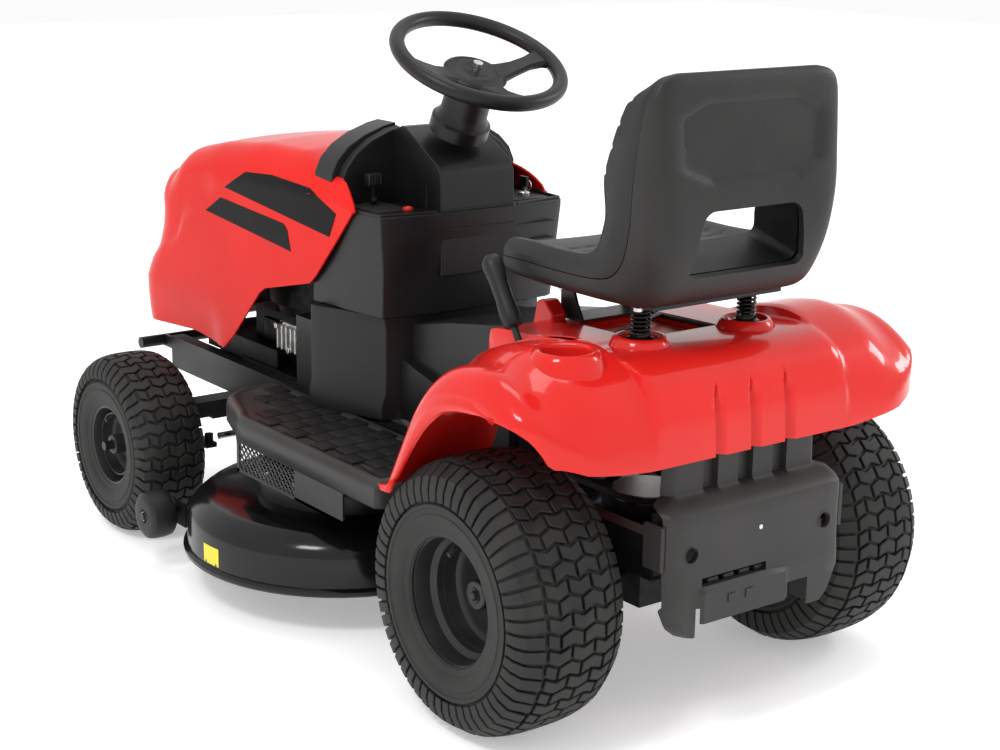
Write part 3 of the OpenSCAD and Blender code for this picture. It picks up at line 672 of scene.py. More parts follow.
def body_line(x):
    """Front to rear section of the rear body at a distance from the mid plane."""
    base, cup, fender = (smooth_line(line, BODY_STEPS) for line in (BASE_LINE, CUP_LINE, FENDER_LINE))
    if x < 216:
        k = ease(206, 214, x)
        return [mix(a, b, k) for a, b in zip(base, cup)]
    k = ease(300, 385, x)
    return [mix(a, b, k) for a, b in zip(cup, fender)]


def rear_line(x):
    """How far back the body reaches, with its rounded corners."""
    return 122 + 110 * math.sqrt(max(0, 1 - (max(0, x - 300) / 138) ** 2))


def hem(x):
    """Height of the body's lower edge at the rear; it climbs round the corner to the wheel arch."""
    return between([(0, 460), (140, 461), (200, 464), (278, 471), (346, 480), (379, 485), (388, 490),
                    (396, 498), (406, 518), (416, 533), (427, 544), (438, 553)], x)


def rear_recess(x, z):
    """Depth of the three upright flutes in the middle of the rear face."""
    reach = min(abs(x - middle) for middle in GROOVES) / (11 * ease(580, 552, z) + 0.01)
    return 13 * max(0, 1 - reach) ** 0.7 * ease(580, 566, z)


def make_rear_body():
    """Red body over the rear wheels, with its cup hole, lever slot and seat well cut out."""
    xs = [*range(0, 13, 2), 18, 28, 40, 54, *range(62, 89, 2), 98, 120, 140, 165, 190, 204, 208, 212,
          218, 232, 250, 268, 285, 302, 320, 340, 360, 378, 388, BODY_FLAT]
    turns = [math.pi / 2 * i / 9 for i in range(1, 10)]
    rounding = [(BODY_FLAT + (BODY_OUT - BODY_FLAT) * math.sin(a), 50 * (1 - math.cos(a))) for a in turns]
    rows = []
    for x in xs:
        row = []
        for y, z in body_line(x):
            if z < 600 and y > 200:
                y -= rear_recess(x, z)
            row.append((x, min(y, rear_line(x)), max(z, hem(x)) if y > 100 else z))
        rows.append(row)
    last = body_line(BODY_FLAT)
    for x, drop in rounding:
        row = []
        for y, z in last:
            slope = ease(-190, -40, y)
            y_in = y + drop * 0.55 * (1 - slope)
            z_in = z - drop * (0.35 + 0.65 * slope)
            row.append((x, min(y_in, rear_line(x)), max(z_in, hem(x) if y > 100 else BODY_FRONT)))
        rows.append(row)
    # the wall goes down to the arch column by column; past the corner its columns are the corner's own
    top = rows[-1]
    count = sum(1 for p in top if p[1] < 121.9)
    arch = smooth_line(ARCH_LINE, count)
    corner = top[count:]
    for k in range(1, len(corner)):
        drop = k / (len(corner) - 1)
        push = 2.5 * math.sin(math.pi * min(drop * 1.1, 1)) - 4 * ease(0.85, 1, drop)
        row = [(BODY_OUT + push, *mix(p[1:], edge, drop)) for p, edge in zip(top, arch)]
        rows.append(row + [corner[max(j, k)] for j in range(len(corner))])
    bm = bmesh.new()
    loft(bm, rows)
    mirror_copy(bm)
    close_skin(bm)
    piece = finish_piece("rear_bodywork", bm, "root", RED, ["rear_body"], smooth=38, wall=4)
    cut_away(piece, [cutter(rod, (CUP_X, CUP_Y, 540), (CUP_X, CUP_Y, 700), 41, sides=64),
                     cutter(box, (222, -152, 500), (242, 54, 700)),
                     cutter(box, (-88, -120, 590), (88, 42, 640))])


def make_cup_and_bosses():
    bm = bmesh.new()
    cup = [(592, 68), (612, 62), (628, 56), (636, 52), (639, 48), (638.5, 43), (636, 39.5), (630, 38),
           (556, 37), (556, 0), (551, 0), (551, 41), (588, 42)]
    revolve(bm, cup, axis=UP, centre=(CUP_X, CUP_Y, 0), steps=72, closed=False)
    finish_piece("cup_holder", bm, "root", RED)
    bm = bmesh.new()
    for x in (SPRING_X, -SPRING_X):
        boss = [(600, 52), (618, 50), (629, 45), (633, 41), (634, 36), (626, 33), (622, 30), (622, 7),
                (600, 7)]
        revolve(bm, boss, axis=UP, centre=(x, SPRING_Y, 0), steps=64)
    finish_piece("spring_bosses", bm, "root", RED)


def make_lever_slot_rim():
    bm = bmesh.new()
    collar = [(-128, 560), (-104, 592), (-70, 612), (-20, 629), (40, 637), (58, 637), (58, 626), (-20, 612),
              (-70, 596), (-104, 572)]
    for x in (216, 242):
        prism(bm, collar, 0, x, x + 6)
    finish_piece("lever_slot_rim", bm, "root", RED, bevel=2)


def make_seat_well():
    bm = bmesh.new()
    box(bm, (-92, -124, 590), (92, 46, 594))
    for low, high in (((-92, -124, 568), (-88, 46, 609)), ((88, -124, 568), (92, 46, 609)),
                      ((-92, -124, 568), (92, -120, 609)), ((-92, 42, 568), (92, 46, 613))):
        box(bm, low, high)
    box(bm, (-80, -104, 594), (80, 34, 597), mat=1)
    for a, b in (((-84, -112, 606), (-84, 34, 612)), ((84, -112, 606), (84, 34, 612)),
                 ((-84, -96, 610), (84, -20, 612))):
        rod(bm, a, b, 4, sides=12, mat=2)
    finish_piece("seat_well", bm, "root", [RED, ORANGE, FRAME_BLACK], bevel=1.0)


def make_seat_hinge():
    """Red towers and the steel plates between them that carry the seat's pivot."""
    bm = bmesh.new()
    tower = [(-204, 560), (-150, 560), (-150, 622), (-172, 644), (-194, 640), (-204, 600)]
    for x in (-112, 80):
        prism(bm, tower, 0, x, x + 32)
    finish_piece("seat_hinge_towers", bm, "root", RED, bevel=5)
    bm = bmesh.new()
    side = [(-178, 613), (-178, 660), (-170, 680), (-158, 682), (-148, 668), (-136, 640), (-120, 613)]
    for x in (-72, 66):
        prism(bm, side, 0, x, x + 6)
    box(bm, (-75, -178, 609.5), (75, -118, 613.5))
    rod(bm, (-84, -165, 668), (84, -165, 668), 6)
    for x in (-84, 78):
        rod(bm, (x, -165, 668), (x + 6, -165, 668), 11, sides=6, mat=1)
    finish_piece("seat_bracket_plates", bm, "root", [FRAME_BLACK, ZINC], ["seat_bracket"],
                 bevel=1.2)


def groove(x, flat, edge):
    """1 inside one of the three upright grooves of the rear face, 0 beside them."""
    return max(ease(edge, flat, abs(x - middle)) for middle in GROOVES)


def cover_depth(share, x, z):
    """How far back the cover stands: an upper band with three ribs, a shoulder and the lower face."""
    y = 210 + 40 * ease(412, 380, z) + 3 * ease(300, 250, z)
    y -= 12 * groove(x, 14, 16) * ease(403, 409, z)
    y += 7 * ease(263, 258, z) * ease(132, 124, x) * ease(-64, -54, x)
    edge = max(0, abs(share) - 0.9) / 0.1
    return y - 18 * edge ** 2 - (8 * edge if z < 240 else 0)


def make_rear_cover():
    """Ribbed cover behind the transaxle, with tails, holes and a slot over the lower panel."""
    half = [(184, 158), (200, 178), (232, 193), (392, 193), (400, 190), (408, 166), (486, 162)]
    zs = [184, 190, 198, 206, 207, 216, 224, 232, 240, 250, 257, 261, 264, 265, 272, 279, 280, 292, 310,
          335, 360, 376, 384, 388, 392, 396, 400, 404, 408, 412, 420, 440, 465, 486]
    xs = sorted({s * x for s in (1, -1) for x in (54, 66, 112, 118, 124, 129, 136, 150)} |
                {m + s * d for m in GROOVES for s in (1, -1) for d in (0, 14, 16)})
    rows = []
    for z in zs:
        limit = between(half, z)
        line = xs + [s * limit * k for s in (1, -1) for k in (0.9, 0.94, 0.96, 0.98, 0.99, 1)]
        rows.append([(x, cover_depth(x / limit, x, z), z) for x in sorted(line)])
    bm = bmesh.new()
    loft(bm, rows)
    doomed = []
    for face in bm.faces:
        x, _, z = face.calc_center_median()
        under = z < 206.5 and -112 < x < 136 or z < 232 and (129 < x < 136 or -112 < x < -66)
        slot = 264.5 < z < 279.5 and -35 < x < 124
        if under or slot:
            doomed.append(face)
    bmesh.ops.delete(bm, geom=doomed, context="FACES")
    close_skin(bm)
    piece = finish_piece("rear_cover_moulding", bm, "root", GREY_PLASTIC, ["rear_cover"],
                         wall=4, smooth=50)
    cut_away(piece, [cutter(rod, (x, 200, z), (x, 280, z), r, sides=32) for x, z, r in
                     ((HOLE_X, HOLE_Z, 13), (-HOLE_X, HOLE_Z, 13), (0, 340, 4))])


def make_rear_cover_ribs():
    """Lips of the holes, the bolt, the tails' inner walls and the bars of the slot."""
    bm = bmesh.new()
    for x in (HOLE_X, -HOLE_X):
        revolve(bm, [(240, 13.2), (250.6, 13.2), (251.4, 14.5), (250.6, 16.5), (247, 17), (240, 17)],
                axis=(0, 1, 0), centre=(x, 0, HOLE_Z), steps=40)
    rod(bm, (0, 243, 340), (0, 252, 340), 5, 4, mat=1)
    for x in (136, -118):
        box(bm, (x, 214, 190), (x + 6, 250, 234))
    for x in (-20, 14, 48, 82):
        box(bm, (x, 226, 266), (x + 22, 244, 273))
    box(bm, (-36, 226, 262), (126, 246, 265))
    for x in (20, 58):
        box(bm, (x, 258, 232), (x + 16, 262, 246))
    for x in (193, -201):
        box(bm, (x, 196, 300), (x + 8, 238, 372))
    finish_piece("rear_cover_ribs", bm, "root", [GREY_PLASTIC, ZINC], bevel=1.2)


def make_hitch():
    """Steel plate across the rails with the short towing tongue behind the cover."""
    bm = bmesh.new()
    rail_in = max(abs(p.x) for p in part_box("hitch_plate")) / MM
    box(bm, (-rail_in, 190, 301), (rail_in, 196, 360))
    box(bm, (-60, 190, 236), (60, 196, 301))
    box(bm, (-60, 190, 230), (60, 243, 236))
    finish_piece("hitch_tongue", bm, "root", FRAME_BLACK, ["hitch_plate"], bevel=1)


# ---------------------------------------------------------------- hood

HOOD_HALF = 228
HOOD_REAR, HOOD_TURN = -592, -1395    # rear edge, and where the flank has turned into the nose
NOSE_START = 0.62                     # share of the rows that belong to the flank
WALL_SHARE = 0.55                     # share of a row that stands upright
SHOULDER = 72                         # how far the wall stops below the ridge
HOOD_LOW = [(-592, 743), (-666, 660), (-737, 585), (-926, 540), (-1055, 411), (-1089, 386), (-1225, 396),
            (-1465, 378), (-1520, 378)]
HOOD_TOP = [(-592, 812), (-640, 822), (-745, 832), (-900, 831), (-986, 829), (-1145, 812), (-1289, 782),
            (-1360, 760), (-1420, 726)]
NOSE_BACK = [(378, 8), (400, 0), (430, -2), (480, 8), (520, 34), (560, 66), (600, 84), (640, 90), (690, 80),
             (740, 58), (790, 60)]


def hood_row(u, rows):
    """Points from the hood's lower edge to its ridge; u runs from the rear edge to the middle of the nose."""
    turn = max(0, (u - NOSE_START) / (1 - NOSE_START))
    y_side = HOOD_REAR + (HOOD_TURN - HOOD_REAR) * min(u / NOSE_START, 1)
    angle = math.pi / 2 * turn
    x_out = (HOOD_HALF - 1) * math.cos(angle) ** 0.5 if turn < 1 else 0
    y_out = y_side - 118 * math.sin(angle) ** 0.8 if turn else y_side
    low = between([(-y, z) for y, z in HOOD_LOW], -y_out)
    roof = between([(-y, z) for y, z in HOOD_TOP], -y_out) if y_out > -1420 else 726
    ridge_y = y_side + turn * 40
    points = []
    for i in range(rows):
        v = i / (rows - 1)
        if v <= WALL_SHARE:
            z = low + (roof - SHOULDER - low) * v / WALL_SHARE
            x, y = x_out, y_out
            # facets below the two creases of the flank
            fold = (y_out + 1150) * 0.06
            facet = ease(-1095, -1150, y_out) * ease(492 + fold, 484 + fold, z)
            crest = 700 + (y_out + 1150) * 0.55
            upper = ease(-1110, -1160, y_out) * ease(crest - 4, crest + 4, z)
            x *= 1 - 0.034 * facet * ease(490, 400, z) - 0.02 * upper - 0.010 * ease(640, 740, z)
        else:
            k = (v - WALL_SHARE) / (1 - WALL_SHARE)
            if k < 0.42:
                a = math.pi / 2 * k / 0.42
                x = x_out * (0.978 - 0.25 * (1 - math.cos(a)) ** 0.9)
                z = roof - SHOULDER + (SHOULDER - 8) * math.sin(a)
                y = y_out + (ridge_y - y_out) * 0.12 * (1 - math.cos(a))
            else:
                m = (k - 0.42) / 0.58
                x = x_out * 0.728 * (1 - m)
                z = roof - 8 + 8 * (1 - (1 - m) ** 2)
                y = y_out + (ridge_y - y_out) * (0.12 + 0.88 * m)
        back = between(NOSE_BACK, z) * ease(-1230, -1395, y_out)
        # the rear edge leans forward over the dash
        lean = (92 * ease(738, 826, z) + 50 * ease(208, 180, x)) * (1 - min(u / 0.3, 1))
        y = y + back - lean
        top_z = between([(-p, q) for p, q in HOOD_TOP], -y)
        if v > WALL_SHARE and z > roof - 9:
            z = min(z, top_z - (roof - z))
        points.append((x, y, z))
    return points


def make_hood():
    bm = bmesh.new()
    loft(bm, [hood_row(i / 60, 46) for i in range(61)])
    mirror_copy(bm)
    close_skin(bm)
    piece = finish_piece("hood_moulding", bm, "hood", HOOD_RED, ["hood_shell"], smooth=40,
                         wall=4)
    cut_away(piece, [cutter(box, (-150, -1540, 585), (150, -1300, 692))])
    return piece


def make_hood_trim(hood):
    """Two slanted dark panels laid on each flank of the hood."""
    upper = [(-1071, 723), (-991, 764), (-889, 771), (-748, 765), (-650, 730), (-672, 684)]
    lower = [(-1150, 665), (-1088, 700), (-838, 684), (-824, 674), (-810, 634)]
    tree = BVHTree.FromObject(hood, bpy.context.evaluated_depsgraph_get())
    bm = bmesh.new()
    for outline in (upper, lower):
        panel = bmesh.new()
        verts = [panel.verts.new((0, y, z)) for y, z in outline]
        panel.faces.new(verts)
        for y in range(-1160, -640, 14):
            slice_at(panel, (0, y, 0), (0, 1, 0))
        for z in range(620, 780, 10):
            slice_at(panel, (0, 0, z), UP)
        for v in panel.verts:
            start = TO_FRAME @ Vector((400, v.co.y, v.co.z))
            hit = tree.ray_cast(start, Vector((-1, 0, 0)))[0]
            v.co.x = hit.x / MM + 0.9 if hit else HOOD_HALF + 1
        bmesh.ops.recalc_face_normals(panel, faces=panel.faces)
        if sum(f.normal.x for f in panel.faces) < 0:
            bmesh.ops.reverse_faces(panel, faces=panel.faces)
        bmesh.ops.solidify(panel, geom=panel.faces[:], thickness=1.6)
        take_in(bm, panel)
    mirror_copy(bm)
    finish_piece("hood_side_trim", bm, "hood", TRIM_BLACK, ["hood_trim"], smooth=30)


def make_engine_casting():
    """Bare finned casting that shows under the hood's lower edge, with its bolts."""
    bm = bmesh.new()
    box(bm, (140, -958, 404), (168, -850, 462))
    for i in range(6):
        box(bm, (166, -952 + i * 17, 408), (180, -947 + i * 17, 458))
    for y, z in ((-950, 455), (-858, 455), (-904, 412)):
        rod(bm, (160, y, z), (184, y, z), 7, sides=6, mat=1)
    box(bm, (-160, -1280, 346), (160, -985, 392), mat=2)
    box(bm, (-130, -1090, 392), (130, -985, 440), mat=2)
    finish_piece("engine_casting", bm, "root", [ALUMINIUM, ZINC, CAST_BLACK], bevel=1.5)


def make_grille():
    bm = bmesh.new()
    for i in range(5):
        box(bm, (-62, -1412, 594 + i * 20), (62, -1402, 602 + i * 20))
    for x in (-66, 60):
        box(bm, (x, -1412, 586), (x + 6, -1400, 692))
    box(bm, (-150, -1396, 586), (150, -1392, 692))
    finish_piece("front_grille", bm, "hood", BLACK_PLASTIC, ["hood_grille"], bevel=1.5)


def make_headlamps():
    bm = bmesh.new()
    for s in (1, -1):
        low, high = sorted((s * 70, s * 144))
        box(bm, (low, -1404, 598), (high, -1398, 682))
        rod(bm, (s * 107, -1399, 640), (s * 107, -1397, 640), 34, 30, sides=40, mat=1)
    finish_piece("headlamps", bm, "hood", [LENS, ZINC], ["headlights"], bevel=1.5)


# ---------------------------------------------------------------- seat

# along the seat, front lip to top: sitting side (y, z), under or rear side (y, z), half widths of the two
SEAT_LINE = [(-191, 722, -191, 714, 168, 166), (-187, 738, -187, 702, 186, 184),
             (-174, 749, -176, 695, 196, 194), (-120, 753, -120, 692, 200, 198),
             (-40, 752, -30, 691, 201, 199), (30, 755, 80, 691, 202, 196), (64, 768, 134, 692, 203, 182),
             (82, 800, 172, 712, 204, 176), (96, 850, 197, 772, 204, 186), (108, 905, 202, 850, 203, 198),
             (124, 965, 197, 930, 200, 199), (142, 1012, 192, 1004, 195, 196),
             (158, 1036, 189, 1034, 186, 188), (164, 1048, 185, 1048, 172, 174),
             (171, 1054, 179, 1054, 148, 148)]
SEAT_STEPS = 110


def seat_section(row, half_loop, shape):
    """One section across the seat, from a half loop of (share of the half width, share from the rear
    to the sitting side)."""
    yi, zi, yo, zo, wi, wo = row
    points = []
    for share, k in half_loop:
        x = share * (wo + (wi - wo) * min(k, 1))
        y, z = yo + (yi - yo) * k, zo + (zi - zo) * k
        points.append(shape(x, y, z, share, k, row))
    mirrored = [(-x, y, z) for x, y, z in reversed(points) if x > 0.5]
    return mirrored + points


def back_panel(x, y, z, _share, k, _row):
    """Sinks the rounded panel into the rear of the back."""
    if k < 0.05 and z > 820:
        reach = max(abs(x) / 146, abs(z - 950) / 60, (abs(x) / 146 + abs(z - 950) / 60) / 1.62)
        y -= 7 * ease(1.06, 0.95, reach)
    return x, y, z


def cushion_form(x, y, z, share, k, row):
    """Ribs across the back, two seams across the pan, and a dished middle."""
    if k > 0.9:
        across = Vector((0, row[0] - row[2], row[1] - row[3])).normalized()
        sink = 0
        if z > 880:
            sink += 4.5 * max(0, 1 - abs((z - 880) % 38 - 19) / 5) * ease(1035, 1015, z)
        for line in (-92, -58, 6):
            seam = 1 if share < 0.8 and z < 775 else 0
            sink += 4 * max(0, 1 - abs(y - line - abs(x) * 0.16) / 4.5) * seam
        sink += 5 * (1 - min(1, share / 0.8) ** 2) * (1 if z < 1000 else 0)
        y, z = y - across.y * sink, z - across.z * sink
        # the wings stand further forward up the back
        wing = 22 * ease(820, 900, z) * ease(1046, 1000, z) * ease(0.7, 0.86, share) * ease(0.8, 1, k)
        y -= wing
    return x, y, z


def make_seat():
    rows = smooth_line(SEAT_LINE, SEAT_STEPS)
    outer = [(i / 24, 0) for i in range(19)] + [(0.83, 0.012), (0.9, 0.045), (0.95, 0.11), (0.985, 0.22),
                                                (1.0, 0.36), (1.003, 0.52), (1.003, 0.6)]
    inner = [(0.965, 0.6), (0.95, 0.3), (0.88, 0.14), (0.7, 0.1), (0.4, 0.1), (0, 0.1)]
    bm = bmesh.new()
    loft(bm, [seat_section(r, outer + inner, back_panel)[:-1] for r in rows], closed=True, caps=True)
    shell_piece = finish_piece("seat_pan", bm, "seat", SEAT_SHELL, ["seat_shell"], smooth=50)
    pad_top = [(i / 26, 1) for i in range(20)] + [(0.78, 1.03), (0.84, 1.09), (0.9, 1.15), (0.945, 1.14),
                                                  (0.98, 1.04), (1.0, 0.88), (1.004, 0.72), (0.998, 0.62)]
    pad_low = [(0.955, 0.6), (0.93, 0.3), (0.8, 0.16), (0.4, 0.14), (0, 0.14)]
    bm = bmesh.new()
    loft(bm, [seat_section(r, pad_top + pad_low, cushion_form)[:-1] for r in rows], closed=True, caps=True)
    pad = finish_piece("seat_pad", bm, "seat", SEAT_SKIN, ["seat_cushion"], smooth=50)
    for piece, grow in ((shell_piece, 0), (pad, 1)):
        cut_away(piece, [cutter(seat_opening, grow)])


def seat_opening(bm, grow):
    """The window low in the back; its sill slopes down towards the rear."""
    prism(bm, [(-126 - grow, 784 - grow), (126 + grow, 784 - grow), (102 + grow, 846 + grow),
               (-102 - grow, 846 + grow)], 1, 40, 260)
    for v in bm.verts:
        if v.co.y > 200 and v.co.z < 820:
            v.co.z -= 62
    round_edges(bm, [e for e in bm.edges if abs(e.verts[0].co.y - e.verts[1].co.y) > 10], 20, 6)


def make_seat_mounting():
    """Plate and ears below the pan."""
    bm = bmesh.new()
    box(bm, (-140, -150, 684), (140, 132, 691))
    for x in (52, -58):
        box(bm, (x, -176, 656), (x + 6, -150, 690))
    for x in (SPRING_X, -SPRING_X):
        rod(bm, (x, SPRING_Y, 684), (x, SPRING_Y, 690), 27)
        rod(bm, (x, SPRING_Y, 676), (x, SPRING_Y, 684), 17)
        rod(bm, (x + 22, 96, 678), (x + 22, 96, 685), 8, sides=6, mat=1)
    finish_piece("seat_mounting_plate", bm, "seat", [FRAME_BLACK, ZINC], bevel=1)


def make_seat_springs():
    bm = bmesh.new()
    for x in (SPRING_X, -SPRING_X):
        coil = bmesh.new()
        start = bmesh.ops.create_circle(coil, segments=10, radius=2.4)["verts"]
        bmesh.ops.rotate(coil, verts=start, cent=(0, 0, 0), matrix=Matrix.Rotation(math.pi / 2, 3, "X"))
        bmesh.ops.translate(coil, verts=start, vec=(14.5, 0, 0))
        turns, steps = 7, 7 * 20
        bmesh.ops.spin(coil, geom=coil.verts[:] + coil.edges[:], cent=(0, 0, 0), axis=(0, 0, 1),
                       dvec=(0, 0, 48 / steps), angle=math.tau * turns, steps=steps)
        bmesh.ops.edgeloop_fill(coil, edges=[e for e in coil.edges if e.is_boundary])
        bmesh.ops.translate(coil, verts=coil.verts, vec=(x, SPRING_Y, 630))
        take_in(bm, coil)
        rod(bm, (x, SPRING_Y, 626), (x, SPRING_Y, 690), 8.5)
        revolve(bm, [(626, 9), (626, 22), (629, 23), (631, 21), (632, 17), (640, 16), (640, 9)], axis=UP,
                centre=(x, SPRING_Y, 0), steps=32)
    finish_piece("seat_coil_springs", bm, "seat", GLOSS_BLACK, ["seat_springs"], smooth=50)


# ---------------------------------------------------------------- console and steering

def make_console():
    """Moulded dash and tower, tunnel between the footrests and the binnacle under the wheel."""
    def plan(points, z):
        return [(x, y, z) for x, y in points] + [(-x, y, z) for x, y in reversed(points)]
    bm = bmesh.new()
    low = [(236, -726), (233, -700), (190, -585), (178, -556), (132, -536)]
    foot = [(238, -732), (236, -704), (198, -588), (186, -557), (134, -536)]
    loft(bm, [plan(foot, 350), plan(foot, 378), plan(low, 400), plan(low, 520),
              plan([(236, -726), (233, -704), (192, -600), (180, -560), (132, -536)], 548)],
         closed=True, caps=True)
    wide = [(222, -748), (218, -610), (208, -528), (190, -520), (88, -512)]
    loft(bm, [plan([(218, -745), (210, -640), (196, -540), (180, -532), (88, -524)], 549),
              plan([(216, -745), (212, -620), (200, -532), (184, -524), (88, -516)], 640),
              plan(wide, 728), plan(wide, 739)], closed=True, caps=True)
    # raised lip round each side of the tray
    for s in (1, -1):
        rim = [(216, -745), (216, -602), (207, -530), (92, -514), (92, -519), (202, -535), (210, -604),
               (210, -745)]
        prism(bm, [(s * x, y) for x, y in rim], 2, 736, 744)
    tunnel = [(-600, 351), (-600, 512), (-585, 522), (-420, 558), (-225, 590), (-208, 578), (-206, 351)]
    prism(bm, tunnel, 0, -130, 130)
    prism(bm, [(-560, 351), (-560, 470), (-430, 440), (-260, 440), (-215, 480), (-215, 351)], 0, -150, 150)
    binnacle = [(-742, 738), (-742, 838), (-645, 884), (-632, 883), (-528, 824), (-517, 806), (-512, 620)]
    prism(bm, [*binnacle, (-600, 620)], 0, -84, 84)
    for s in (1, -1):
        wing = [(70, 738), (70, 886), (96, 881), (140, 866), (176, 846), (200, 822), (212, 796), (214, 738)]
        prism(bm, [(s * x, z) for x, z in wing], 1, -745, -684)
        rear = [(70, 738), (70, 882), (96, 877), (138, 860), (170, 838), (192, 812), (203, 786), (206, 738)]
        loft(bm, [[(s * x, -684, z) for x, z in rear],
                  [(s * (x - 3), -668, 738 + (z - 738) * 0.97) for x, z in rear]], closed=True, caps=True)
        # slanted wall between the binnacle and the tray
        loft(bm, [[(s * 80, -672, 738), (s * 80, -672, 872), (s * 84, -645, 872), (s * 86, -645, 738)],
                  [(s * 80, -560, 738), (s * 80, -560, 790), (s * 84, -560, 790), (s * 86, -560, 738)]],
             closed=True, caps=True)
    finish_piece("console_moulding", bm, "root", BLACK_PLASTIC, ["console"], bevel=5,
                 smooth=40)


def make_console_details():
    """Seams across the rear of the tower, a warning lamp and the two control plates."""
    bm = bmesh.new()
    for z in (700, 668):
        box(bm, (-180, -530, z), (-94, -512.5, z + 1.6))
    for z in (742, 706):
        box(bm, (-84, -514, z), (84, -510.8, z + 1.6))
    revolve(bm, [(740, 5), (744, 5.4), (745.5, 7.5), (744, 9.6), (740, 10)], axis=UP,
            centre=(120, -570, 0), steps=32, mat=1)
    rod(bm, (120, -570, 738), (120, -570, 742), 5, sides=20)
    finish_piece("console_details", bm, "root", [FRAME_BLACK, RED_LIGHT])
    bm = bmesh.new()
    box(bm, (-190, -700, 738), (-112, -548, 741))
    revolve(bm, [(738, 12), (746, 12), (748, 9), (748, 4), (738, 4)], axis=UP, centre=(-165, -590, 0),
            steps=32, mat=1)
    box(bm, (112, -702, 738), (188, -572, 741))
    for i in range(7):
        box(bm, (146.5, -690 + i * 17, 741), (153.5, -682 + i * 17, 742.5))
    finish_piece("control_plates", bm, "root", [GREY_PLASTIC, ZINC], bevel=1)


def make_steering():
    """Column cover and the wheel on top of it, drawn round the column's axis."""
    at = Matrix.Translation(WHEEL_C) @ Matrix.Rotation(-TILT, 4, "X")
    bm = bmesh.new()
    tube = [(-150, 31), (-150, 56), (-126, 56), (-122, 50), (-112, 46), (-108, 44.5), (-60, 43.5), (-52, 43),
            (-47, 40), (-47, 31)]
    revolve(bm, tube, axis=UP, steps=64)
    finish_piece("steering_column_cover", bm, "root", BLACK_PLASTIC, ["column_shroud"], at=at)
    bm = bmesh.new()
    ring, grip = 154, 14
    revolve(bm, [(grip * math.sin(a) * 1.02, ring + grip * math.cos(a)) for a in
                 (math.tau * i / 20 for i in range(20))], axis=UP, steps=96)
    hub = [(-46, 0), (-46, 46), (-42, 52), (-34, 56), (-28, 60), (-25, 58), (-22, 52), (-24, 48), (-24, 44),
           (-21, 40), (-20, 28), (-22, 25), (-22, 0)]
    revolve(bm, hub, axis=UP, steps=64, closed=False)
    for angle in (0, 90, 180):
        spoke = bmesh.new()
        rows = []
        for r, w, z, t in ((40, 26, -30, 9), (58, 23, -28, 8), (84, 18, -21, 7), (112, 16, -11, 7),
                           (134, 20, -4, 8), (152, 30, -1, 9)):
            rows.append([(r, -w, z - t), (r, w, z - t), (r, w + 2, z), (r, w - 3, z + t * 0.7),
                         (r, -w + 3, z + t * 0.7), (r, -w - 2, z)])
        loft(spoke, rows, closed=True, caps=True)
        bmesh.ops.rotate(spoke, verts=spoke.verts, cent=(0, 0, 0),
                         matrix=Matrix.Rotation(math.radians(angle), 3, "Z"))
        take_in(bm, spoke)
    finish_piece("steering_wheel_moulding", bm, "steering", WHEEL_GRIP, ["steering_wheel"],
                 at=at, smooth=40)


def make_throttle():
    bm = bmesh.new()
    rod(bm, (-5, 0, 0), (5, 0, 0), 8)
    box(bm, (-3, -4, 0), (3, 4, 32))
    box(bm, (-15, -8, 28), (15, 8, 50))
    for i in range(5):
        box(bm, (-13 + i * 6, -9.4, 30), (-10 + i * 6, 9.4, 51))
    finish_piece("throttle_knob", bm, "throttle_lever", BLACK_PLASTIC, ["throttle_lever"],
                 bevel=1.5, at=Matrix.Translation((150, -640, 750)))


def make_blade_knob():
    bm = bmesh.new()
    knob = [(741, 0), (741, 7), (768, 7), (772, 12), (780, 12), (784, 16), (789, 19), (793, 19), (796, 16),
            (797, 10), (796, 0)]
    revolve(bm, knob, axis=UP, centre=(-150, -660, 0), steps=48, closed=False)
    finish_piece("blade_clutch_knob", bm, "pto_knob", YELLOW, ["pto_knob"], smooth=35)


def make_key():
    bm = bmesh.new()
    c = Vector((-165, -590, 741))
    rod(bm, c, c + Vector((0, 0, 8)), 7, mat=1)
    box(bm, c + Vector((-1.2, -4, 6)), c + Vector((1.2, 4, 20)), mat=1)
    box(bm, c + Vector((-3, -11, 16)), c + Vector((3, 11, 36)))
    wire = [(-1 + 1.2 * math.cos(math.tau * i / 8), 9 + 1.2 * math.sin(math.tau * i / 8)) for i in range(8)]
    revolve(bm, wire, axis=(1, 0, 0), centre=c + Vector((0, 12, 20)), steps=24, mat=1)
    finish_piece("key_with_fob", bm, "ignition_key", [BLACK_PLASTIC, ZINC], ["ignition_key"],
                 bevel=0.8)


def make_height_lever():
    bm = bmesh.new()
    rod(bm, (0, 0, 0), (0, 0, 156), 6, mat=1)
    grip = [(146, 0), (146, 13), (150, 16), (168, 17.5), (196, 15), (226, 15.5), (250, 18), (262, 17),
            (271, 11), (274, 0)]
    revolve(bm, grip, axis=UP, steps=32, closed=False)
    rod(bm, (-9, 0, 0), (9, 0, 0), 12, mat=1)
    turn = Matrix.Translation((232, -20, 505)) @ Matrix.Rotation(math.radians(33), 4, "X")
    finish_piece("height_lever_grip", bm, "height_lever", [WHEEL_GRIP, FRAME_BLACK],
                 ["height_lever"], at=turn, smooth=45)


# ---------------------------------------------------------------- footrests and deck

